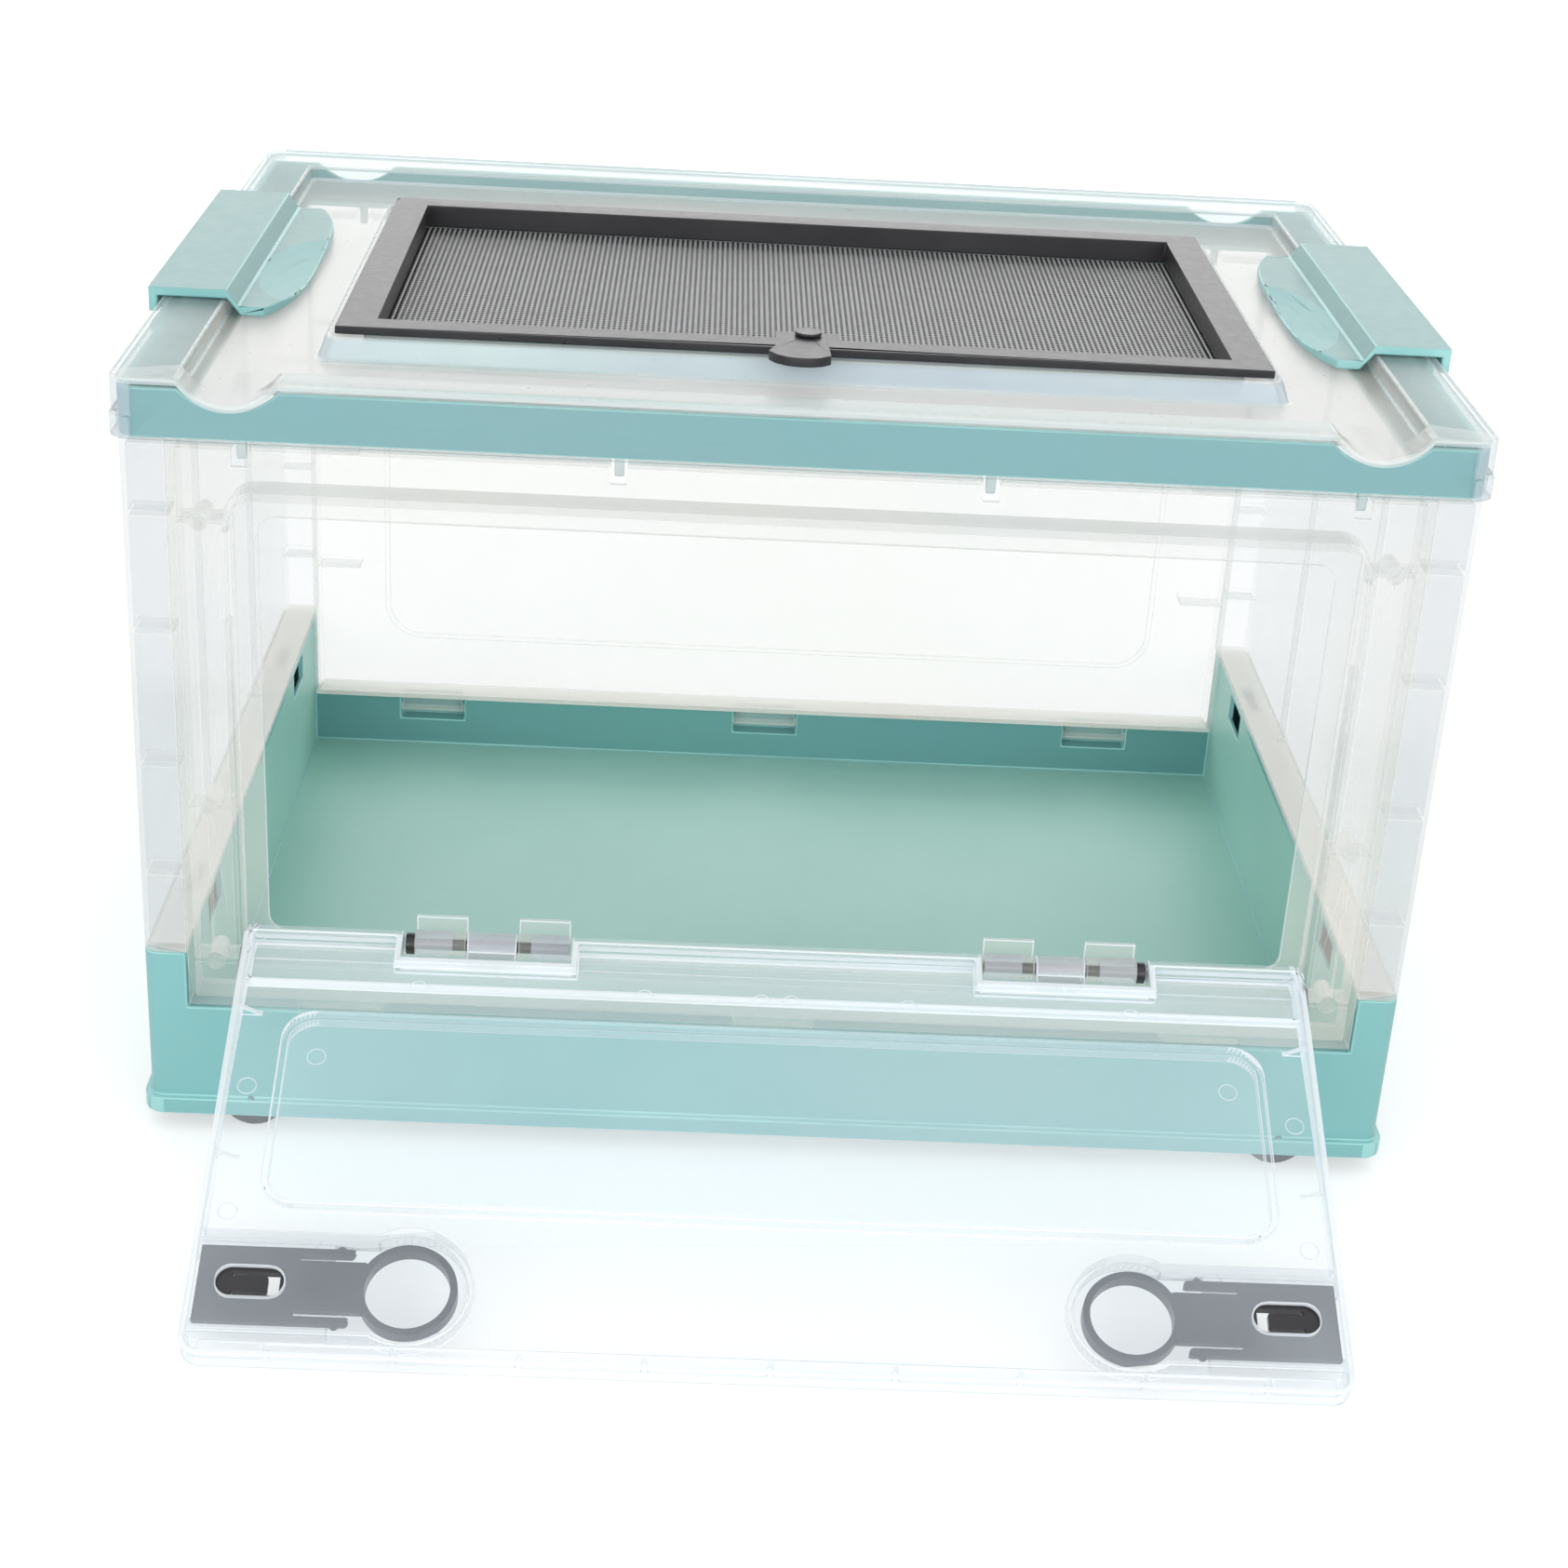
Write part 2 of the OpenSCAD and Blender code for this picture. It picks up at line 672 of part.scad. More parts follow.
module door() {
  outer = -door_back - cut;
  pocket_in = hinge_x - hinge_half - pocket_gap;
  pocket_out = hinge_x + hinge_half + pin_head_t + pocket_gap;
  color(clear) door_place() difference() {
    union() {
      door_shell();
      raised(-plateau_x, plateau_x, plateau_low, plateau_high, plateau_rise, plateau_r);
      raised(-door_half_w + 1, door_half_w - 1, -1, strip_top, strip_rise, 3);
      for (s = [-1, 1]) on_side(s) {
        latch_recess(recess_skin, door_half_w - 1, -door_back);
        for (z = gusset_z) gusset_side(z);
        block(pocket_in - rib_t, pocket_out + rib_t, -door_back, door_back, pocket_rise, pocket_rise + rib_t);
        for (x = [pocket_in - rib_t, pocket_out])
          block(x, x + rib_t, -door_back, door_back, 0, pocket_rise + rib_t);
      }
      for (i = [-4 : 4])
        block(i * door_rib_pitch - thin_rib_t / 2, i * door_rib_pitch + thin_rib_t / 2,
              -door_back + rib_t / 2, door_back - 1, door_l - door_edge_w, door_l - rib_t / 2);
      block(-door_half_w + door_r, door_half_w - door_r, door_back - rib_t, door_back,
            door_l - door_edge_w, door_l - rib_t / 2);
    }
    difference() {
      union() {
        upright(-plateau_x + rib_t, plateau_x - rib_t, plateau_low + rib_t, plateau_high - rib_t,
                outer, -door_back + plateau_rise, plateau_r - rib_t);
        for (s = [-1, 1]) on_side(s) latch_recess(0, door_half_w + cut, outer);
        block(-door_half_w + 1 + rib_t, door_half_w - 1 - rib_t, outer, -door_back + strip_rise - rib_t,
              strip_foot, strip_top - rib_t);
      }
      for (s = [-1, 1]) on_side(s) latch_guides();
    }
    for (s = [-1, 1]) on_side(s) {
      block(pocket_in, pocket_out, outer, door_back + cut, outer, pocket_rise);
      stadium_y(door_half_w - window_out, door_half_w - window_in, 0, door_back + cut, latch_z, window_half);
    }
  }
  color(clear) door_place() for (s = [-1, 1]) on_side(s) difference() {
    union() {
      rod_x(hinge_x - door_knuckle_w / 2, hinge_x + door_knuckle_w / 2, 0, 0, knuckle_r);
      block(hinge_x - door_knuckle_w / 2, hinge_x + door_knuckle_w / 2, -rib_t, rib_t,
            0, pocket_rise + rib_t / 2);
    }
    rod_x(hinge_x - door_knuckle_w, hinge_x + door_knuckle_w, 0, 0, door_pin_r + pin_fit);
  }
}

// Lips that hold a latch's plate against the recess
module latch_guides() {
  for (z = [latch_z - recess_half, latch_z + recess_half - guide_w])
    block(latch_body_x - arm_l + guide_w, door_half_w + 2 * cut, -door_back - cut,
          plate_out - door_back - 0.5, z, z + guide_w);
}

module gusset_side(z) {
  x = door_half_w - rib_t / 2;
  translate([0, 0, z + thin_rib_t / 2]) mirror([0, 0, 1]) linear_extrude(thin_rib_t)
    polygon([[x, -door_back + 1], [x, door_back - 0.6], [x - gusset_l, -door_back + 1]]);
}

// A latch: plate, two spring arms, detent tongue and finger ring
module latch(s) {
  y0 = plate_out - door_back;
  y1 = plate_in - door_back;
  color(black) door_place() on_side(s) difference() {
    union() {
      block(latch_body_x, latch_end, y0, y1, latch_z - latch_h / 2, latch_z + latch_h / 2);
      block(ring_x + ring_hole_r, latch_body_x + cut, y0, y1, latch_z - neck_half, latch_z + neck_half);
      rod_y(ring_x, -door_back + ring_sink, y1, latch_z, ring_r);
      for (e = [-1, 1]) {
        z = latch_z + e * (latch_h / 2 - arm_h / 2);
        block(latch_body_x - arm_l, latch_body_x + cut, y0, y1, z - arm_h / 2, z + arm_h / 2);
        rod_y(latch_body_x - arm_l, y0, y1, z, arm_h / 2);
        rod_y(latch_body_x - arm_l + arm_h, y0, y1, z + e * arm_bulge, arm_h / 2);
      }
    }
    rod_y(ring_x, -door_back - cut, door_back, latch_z, ring_hole_r);
    difference() {
      block(door_half_w - tongue_x - 3 * tongue_gap, door_half_w - tongue_slot_x, y0 - cut, y1 + cut,
            latch_z - tongue_half - tongue_gap, latch_z + tongue_half + tongue_gap);
      block(door_half_w - tongue_x, door_half_w, y0, y1, latch_z - tongue_half, latch_z + tongue_half);
    }
  }
}

// Top frame: an upright band with a foot flange, locating ribs and the clamps' pivot lugs
module scoop(extra, y0, y1) {
  for (s = [-1, 1]) rod_y(s * scoop_x, y0, y1, scoop_z, scoop_r + extra);
}

module top_frame() {
  color(green) {
    difference() {
      slab(frame_w, frame_d, frame_foot, frame_head, corner_r);
      slab(frame_w - 2 * wall, frame_d - 2 * wall, frame_foot - cut, frame_head + cut, corner_r - wall);
      scoop(wall + move_gap, -lid_d, field_front);
      scoop(wall + move_gap, field_rear, lid_d);
      for (s = [-1, 1]) on_side(s)
        rod_y(clamp_x, -half_d, half_d, clamp_axis_z, clamp_pin_r);
    }
    // the foot that bears on the panels' heads
    difference() {
      slab(frame_w, frame_d, frame_foot, frame_foot + rib_t, corner_r);
      slab(frame_w - 2 * frame_side_w, frame_d - 2 * frame_foot_w,
           frame_foot - cut, frame_foot + rib_t + cut, 1);
    }
    for (x = rib_x, sx = [-1, 1], e = [-1, 1]) on_end(e) translate([sx * x, 0, 0]) locating_rib();
    for (s = [-1, 1]) on_side(s) difference() {
      for (y = lug_y) {
        block(frame_w / 2 - wall / 2, clamp_x, y - lug_w / 2, y + lug_w / 2,
              clamp_axis_z - clamp_knuckle_r, clamp_axis_z + clamp_knuckle_r);
        rod_y(clamp_x, y - lug_w / 2, y + lug_w / 2, clamp_axis_z, clamp_knuckle_r);
      }
      rod_y(clamp_x, -clamp_l, clamp_l, clamp_axis_z, clamp_pin_r);
    }
  }
}

module locating_rib() {
  foot = frame_foot - rib_drop;
  translate([rib_w / 2, 0, 0]) rotate([0, -90, 0]) linear_extrude(rib_w)
    polygon([[frame_foot + rib_t / 2, half_d - rib_depth], [frame_foot + rib_t / 2, half_d - rib_set],
             [foot, half_d - rib_set - rib_t], [foot, half_d - rib_set - rib_t - rib_tip]]);
}

// Lid: a skirt, a raised border with finger scoops, a recessed field and the hatch's coaming
module lid_shell() {
  top_w = lid_w - 2 * skirt_step;
  top_d = lid_d - 2 * skirt_step;
  difference() {
    union() {
      slab(lid_w, lid_d, lid_foot, skirt_step_z, lid_r);
      slab(top_w, top_d, lid_foot, lid_top, lid_r);
    }
    slab(lid_w - 2 * lid_skin, lid_d - 2 * lid_skin, lid_foot - cut, lid_under, corner_r);
    for (s = [-1, 1]) on_side(s)
      block(frame_w / 2, lid_w, -clamp_l / 2 - 1, clamp_l / 2 + 1, lid_foot - cut, clamp_axis_z + lug_room);
  }
  block(-field_x - wall, field_x + wall, field_front - wall, field_rear + wall, pan_z, lid_top);
  intersection() {
    scoop(wall, -lid_d / 2, field_front);
    slab(top_w, top_d, lid_foot, lid_top, lid_r);
  }
}

// The raised coaming round the hatch's well, grown or shrunk by one distance
module coaming(grow, z0, z1) {
  slab(hatch_w + 2 * grow, hatch_d + 2 * grow, z0, z1, coaming_r, hatch_mid);
}

module well_room(grow, z0, z1) {
  block(-well_x - grow, well_x + grow, well_front - grow, well_rear + grow, z0, z1);
}

module lid() {
  color(clear) {
    difference() {
      union() {
        difference() {
          lid_shell();
          block(-field_x, field_x, field_front, field_rear, field_z, lid_top + cut);
          scoop(0, -lid_d / 2 - cut, field_front + cut);
        }
        coaming(coaming_out, pan_z, coaming_z);
      }
      difference() {
        coaming(coaming_out - wall, pan_z - cut, coaming_z - wall);
        well_room(move_gap + rib_t, pan_z - 2 * cut, coaming_z);
      }
      well_room(move_gap, pan_z - 2 * cut, coaming_z + cut);
    }
    for (s = [-1, 1]) on_side(s) difference() {
      for (e = [-1, 1]) {
        x = hatch_ear_x + e * (hatch_ear_w / 2 + move_gap + lid_ear_w / 2);
        block(x - lid_ear_w / 2, x + lid_ear_w / 2, hatch_rear + coaming_out - wall / 2,
              hatch_axis_y + hatch_ear_r, field_z - wall / 2, hatch_axis_z);
        rod_x(x - lid_ear_w / 2, x + lid_ear_w / 2, hatch_axis_y, hatch_axis_z, hatch_ear_r);
      }
      rod_x(hatch_ear_x - 2 * hatch_ear_w, hatch_ear_x + 2 * hatch_ear_w,
            hatch_axis_y, hatch_axis_z, hatch_pin_r);
    }
  }
}

// Hatch
module hatch_frame() {
  color(black) {
    difference() {
      union() {
        slab(hatch_w, hatch_d, hatch_under, hatch_top, hatch_r, hatch_mid);
        block(-hatch_w / 2, hatch_w / 2, hatch_front, hatch_front + 2 * hatch_r, hatch_under, hatch_top);
        well_room(0, mesh_z + mesh_t, hatch_top);
      }
      well_room(-rib_t, mesh_z, hatch_top + cut);
      translate([0, knob_y, hatch_top - rivet_deep]) cylinder(h = hatch_t, r = rivet_r);
    }
    block(-knob_plate / 2, knob_plate / 2, well_front + rib_t / 2, well_front + rib_t + knob_plate_l,
          hatch_top - knob_plate_t, hatch_top);
    for (s = [-1, 1]) on_side(s) difference() {
      union() {
        rod_x(hatch_ear_x - hatch_ear_w / 2, hatch_ear_x + hatch_ear_w / 2,
              hatch_axis_y, hatch_axis_z, hatch_ear_r);
        hatch_arm();
      }
      rod_x(hatch_ear_x - hatch_ear_w, hatch_ear_x + hatch_ear_w,
            hatch_axis_y, hatch_axis_z, hatch_pin_r + pin_fit);
    }
  }
}

// The arm reaches back from the flange, over the coaming, and down to the hinge pin
module hatch_arm() {
  translate([hatch_ear_x - hatch_ear_w / 2, 0, 0]) rotate([90, 0, 90]) linear_extrude(hatch_ear_w)
    polygon([[hatch_rear - rib_t, hatch_under], [hatch_axis_y - hatch_ear_r, hatch_under],
             [hatch_axis_y - hatch_ear_r, hatch_axis_z], [hatch_axis_y, hatch_axis_z],
             [hatch_axis_y, hatch_axis_z + hatch_ear_r], [hatch_rear, hatch_top],
             [hatch_rear - rib_t, hatch_top]]);
}

module hatch_mesh() {
  color(black) well_room(0, mesh_z, mesh_z + mesh_t);
}

module mesh_retainer() {
  color(black) difference() {
    well_room(0, well_z, mesh_z);
    well_room(-retainer_w, well_z - cut, mesh_z + cut);
  }
}

module knob_rivet() {
  top = knob_z + knob_t + seat_gap;
  color(black) translate([0, knob_y, hatch_top]) {
    translate([0, 0, -rivet_deep]) cylinder(h = rivet_deep + top + rivet_head_t / 2, r = rivet_r);
    translate([0, 0, top]) cylinder(h = rivet_head_t, r = rivet_head_r);
  }
}

// The knob widens from its pivot to a shallow round tip
module hatch_knob() {
  tip_y = -knob_l + knob_tip_l;
  color(black) translate([0, knob_y, hatch_top + knob_z]) rotate([0, 0, -knob_angle]) difference() {
    union() {
      cylinder(h = knob_t, r = knob_neck_r);
      intersection() {
        translate([0, knob_tip_r - knob_l, 0]) cylinder(h = knob_t, r = knob_tip_r);
        block(-knob_w / 2, knob_w / 2, -knob_l, tip_y, 0, knob_t);
      }
      linear_extrude(knob_t)
        polygon([[-knob_neck_r, 0], [-knob_w / 2, tip_y], [knob_w / 2, tip_y], [knob_neck_r, 0]]);
    }
    translate([0, 0, -cut]) cylinder(h = knob_t + 2 * cut, r = rivet_r + pin_fit);
  }
}

module hatch_pins() {
  color(steel) for (s = [-1, 1]) on_side(s)
    rod_x(hatch_ear_x - hatch_ear_w / 2 - move_gap - lid_ear_w,
          hatch_ear_x + hatch_ear_w / 2 + move_gap + lid_ear_w, hatch_axis_y, hatch_axis_z, hatch_pin_r);
}

// Clamps: pivot on the top frame, hook over the lid's border and end in a finger tab
module clamp_outline(foot_z) {
  polygon([
    [clamp_out, foot_z], [clamp_out, clamp_z + clamp_t], [clamp_in, clamp_z + clamp_t],
    [clamp_in - clamp_slope, tab_z + clamp_t], [clamp_in - tab_reach, tab_z + clamp_t],
    [clamp_in - tab_reach, tab_z], [clamp_in - clamp_slope - 0.8, tab_z],
    [clamp_in - 0.4, clamp_z], [clamp_out - clamp_t, clamp_z], [clamp_out - clamp_t, foot_z]
  ]);
}

module clamp_band(length, foot_z) {
  translate([0, length / 2, 0]) rotate([90, 0, 0]) linear_extrude(length) clamp_outline(foot_z);
}

module clamp_plan() {
  tip = clamp_in - tab_reach;
  half = clamp_l / 2;
  steps = 12;
  translate([clamp_in - clamp_slope - 1, -half]) square([lid_w / 4, clamp_l]);
  polygon(concat([[clamp_in, half], [clamp_in, -half]],
    [for (i = [-steps : steps]) [tip + tab_bow * pow(abs(i) / steps, tab_bow_power), i * half / steps]]));
}

module clamp(s) {
  hinge_l = 2 * lug_y[2] + lug_w;
  color(green) on_side(s) {
    intersection() {
      union() {
        clamp_band(clamp_l, clamp_end_z);
        clamp_band(hinge_l, clamp_foot_z);
      }
      translate([0, 0, frame_foot]) linear_extrude(2 * skirt_h) clamp_plan();
    }
    difference() {
      for (e = [-1, 1]) {
        y = e * lug_y[2] / 2;
        rod_y(clamp_x, y - clamp_knuckle_w / 2, y + clamp_knuckle_w / 2, clamp_axis_z, clamp_knuckle_r);
        block(clamp_out - clamp_t, clamp_out, y - clamp_knuckle_w / 2, y + clamp_knuckle_w / 2,
              clamp_axis_z, clamp_foot_z + 1);
      }
      rod_y(clamp_x, -clamp_l, clamp_l, clamp_axis_z, clamp_pin_r + pin_fit);
    }
  }
}

module clamp_pin(s) {
  half = lug_y[2] + lug_w / 2;
  color(steel) on_side(s) rod_y(clamp_x, -half, half, clamp_axis_z, clamp_pin_r);
}

base_tray();
wheel_axles();
front_panel();
rear_panel();
on_side(-1) side_panel();  // side_panel_left
side_panel();  // side_panel_right
door_pin(-1);  // door_pin_left
door_pin(1);  // door_pin_right
door();
latch(-1);  // latch_left
latch(1);  // latch_right
top_frame();
lid();
clamp_pin(-1);  // clamp_pin_left
clamp_pin(1);  // clamp_pin_right
clamp(-1);  // clamp_left
clamp(1);  // clamp_right
hatch_frame();
hatch_mesh();
mesh_retainer();
knob_rivet();
hatch_pins();
hatch_knob();
wheel(-1, -1);  // wheel_front_left
wheel(1, -1);  // wheel_front_right
wheel(-1, 1);  // wheel_rear_left
wheel(1, 1);  // wheel_rear_right
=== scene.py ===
import json
import math
import bmesh
import bpy
from mathutils import Matrix, Vector
from mathutils.bvhtree import BVHTree


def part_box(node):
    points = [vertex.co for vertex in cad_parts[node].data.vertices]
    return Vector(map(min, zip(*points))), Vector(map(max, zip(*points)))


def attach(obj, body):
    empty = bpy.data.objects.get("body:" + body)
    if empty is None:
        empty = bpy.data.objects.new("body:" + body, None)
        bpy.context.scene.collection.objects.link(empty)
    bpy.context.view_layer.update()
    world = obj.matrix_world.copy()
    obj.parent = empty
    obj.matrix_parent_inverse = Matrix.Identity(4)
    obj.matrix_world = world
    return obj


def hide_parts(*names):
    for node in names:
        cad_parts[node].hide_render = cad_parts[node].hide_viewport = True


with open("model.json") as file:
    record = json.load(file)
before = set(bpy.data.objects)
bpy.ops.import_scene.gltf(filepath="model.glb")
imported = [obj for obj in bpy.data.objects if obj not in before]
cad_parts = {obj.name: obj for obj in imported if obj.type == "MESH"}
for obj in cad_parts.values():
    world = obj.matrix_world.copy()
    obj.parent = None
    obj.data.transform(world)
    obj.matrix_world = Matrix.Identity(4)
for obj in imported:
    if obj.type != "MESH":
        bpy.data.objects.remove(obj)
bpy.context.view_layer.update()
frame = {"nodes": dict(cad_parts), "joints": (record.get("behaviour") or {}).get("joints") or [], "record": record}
scene = bpy.context.scene
nodes = frame["nodes"]
bodyOf = {node: body for body, names in frame["record"]["behaviour"]["bodies"].items() for node in names}
mm = 0.001
hair = 0.001 * mm  # a distance that counts as none
print("frame loaded,", len(nodes), "nodes")

# Colours, as they read on the plastic in plain light; some of them are painted light, shade or highlight, as
# marked
palette = {
    "green": (134, 191, 191),
    "greenDeep": (125, 183, 182),
    # a light green for the rounded edges of green parts: painted highlight
    "greenEdgeHighlight": (174, 229, 226),
    # a lighter copy of the tray's green for its floor and inner side walls: painted light
    "paintedLightGreen": (180, 227, 217),
    "paintedLightGreenDeep": (168, 217, 206),
    # a darker copy of the green for the inside of the tray's rear wall: painted shade
    "paintedShadeWallGreen": (112, 171, 162),
    "band": (118, 171, 175),
    "bandDeep": (110, 163, 168),
    # clamp greens, darker than the tray's green: painted shade and grey reflection for the clamps' tops
    "clamp": (113, 166, 165),
    "clampDeep": (106, 157, 156),
    "plateau": (228, 246, 255),
    "knuckle": (196, 202, 216),
    "clear": (214, 219, 220),
    "clearWarm": (240, 238, 231),
    "side": (210, 216, 226),
    "door": (238, 248, 255),
    "doorPale": (240, 249, 255),
    "lid": (212, 215, 213),
    "lidWarm": (228, 224, 217),
    "border": (202, 221, 220),
    "borderDeep": (188, 213, 212),
    "rim": (212, 224, 226),
    "coaming": (198, 208, 220),
    "milk": (248, 247, 241),
    "tunnel": (214, 215, 212),
    "rib": (196, 216, 216),
    # near white for the edges of clear plastic: denser plastic seen edge-on, and painted highlight
    "clearEdgeHighlight": (252, 254, 255),
    "panelEdgeHighlight": (248, 249, 247),
    "black": (38, 38, 41),
    # a lighter black: a random tone in the black plastic, and painted highlight on rounded edges
    "blackMottleAndEdgeHighlight": (54, 54, 57),
    "steel": (168, 170, 172),
    # light grey of the front-to-back mesh threads: painted highlight on dark wire; also the second tone of steel
    "threadHighlightGrey": (154, 154, 152),
    "threadDark": (40, 40, 42),
    "floor": (232, 232, 232),
}


# The curve between display values and linear light
curve = {"full": 255, "knee": 0.04045, "slope": 12.92, "shift": 0.055, "power": 2.4}


def toLinear(value):
    level = value / curve["full"]
    if level <= curve["knee"]:
        return level / curve["slope"]
    return ((level + curve["shift"]) / (1 + curve["shift"])) ** curve["power"]


def colour(name):
    return tuple(toLinear(value) for value in palette[name]) + (1.0,)


def openMaterial(name):
    material = bpy.data.materials.new(name)
    material.use_nodes = True
    material.node_tree.nodes.clear()
    return material, material.node_tree


def addNode(tree, kind, inputs=None, **settings):
    node = tree.nodes.new("ShaderNode" + kind)
    for key, value in settings.items():
        setattr(node, key, value)
    for key, value in (inputs or {}).items():
        if isinstance(value, bpy.types.NodeSocket):
            tree.links.new(value, node.inputs[key])
        else:
            node.inputs[key].default_value = value
    return node


# A moulded plastic: flow marks in the colour, a faint orange-peel bump, haze where it is see-through
moulding = {"flowDetail": 4.0, "flowLow": 0.3, "flowHigh": 0.7, "peelScale": 260.0,
            "peelDetail": 2.0, "peelDepth": 0.4 * mm, "noiseRoughness": 0.55, "roughSpread": 0.06,
            "ior": 1.49, "facingBlend": 0.5, "thinHaze": 0.8, "thickHaze": 1.25, "shadowShare": 0.3}


def objectNoise(tree, scale, detail, stretch=(1, 1, 1)):
    place = addNode(tree, "TexCoord")
    turned = addNode(tree, "Mapping", {"Vector": place.outputs["Object"], "Scale": stretch})
    noise = addNode(tree, "TexNoise", {"Vector": turned.outputs["Vector"], "Scale": scale, "Detail": detail,
                                       "Roughness": moulding["noiseRoughness"]})
    return noise.outputs["Fac"]


def ramp(tree, fac, low, high):  # 0 up to low, 1 from high on
    node = addNode(tree, "ValToRGB", {"Fac": fac})
    for element, position, value in zip(node.color_ramp.elements, (low, high), (0.0, 1.0)):
        element.position = position
        element.color = (value, value, value, 1)
    return node.outputs["Color"]


def blendColour(tree, fac, first, second):
    node = addNode(tree, "Mix", data_type="RGBA")
    tree.links.new(fac, node.inputs["Factor"])
    node.inputs["A"].default_value = colour(first)
    node.inputs["B"].default_value = colour(second)
    return node.outputs["Result"]


def mathNode(tree, operation, first, second):
    return addNode(tree, "Math", {0: first, 1: second}, operation=operation).outputs[0]


def plastic(name, first, second, roughness, flow=7.0, bump=0.05, haze=None, grazing=0.0, stretch=(1, 1, 1)):
    material, tree = openMaterial(name)
    flowNoise = objectNoise(tree, flow, moulding["flowDetail"], stretch)
    flowMarks = ramp(tree, flowNoise, moulding["flowLow"], moulding["flowHigh"])
    grain = objectNoise(tree, moulding["peelScale"], moulding["peelDetail"])
    rise = addNode(tree, "Bump", {"Height": grain, "Strength": bump, "Distance": moulding["peelDepth"]})
    rough = addNode(tree, "MapRange", {"Value": grain, "To Min": roughness - moulding["roughSpread"],
                                       "To Max": roughness + moulding["roughSpread"]})
    shader = addNode(tree, "BsdfPrincipled", {
        "Base Color": blendColour(tree, flowMarks, first, second),
        "Roughness": rough.outputs["Result"], "Normal": rise.outputs["Normal"], "IOR": moulding["ior"]})
    if haze is not None:
        tree.links.new(hazeDensity(tree, flowMarks, haze, grazing), shader.inputs["Alpha"])
    addNode(tree, "OutputMaterial", {"Surface": shader.outputs["BSDF"]})
    return material


def hazeDensity(tree, flowMarks, haze, grazing):  # denser seen edge-on; it lets light through forwards
    rim = addNode(tree, "LayerWeight", {"Blend": moulding["facingBlend"]})
    cloud = addNode(tree, "MapRange", {"Value": flowMarks, "To Min": haze * moulding["thinHaze"],
                                       "To Max": haze * moulding["thickHaze"]})
    facing = mathNode(tree, "MULTIPLY", rim.outputs["Facing"], grazing)
    density = mathNode(tree, "ADD", cloud.outputs["Result"], facing)
    path = addNode(tree, "LightPath")
    forward = addNode(tree, "MapRange", {"Value": path.outputs["Is Shadow Ray"], "To Min": 1.0,
                                         "To Max": moulding["shadowShare"]})
    return mathNode(tree, "MULTIPLY", density, forward.outputs["Result"])


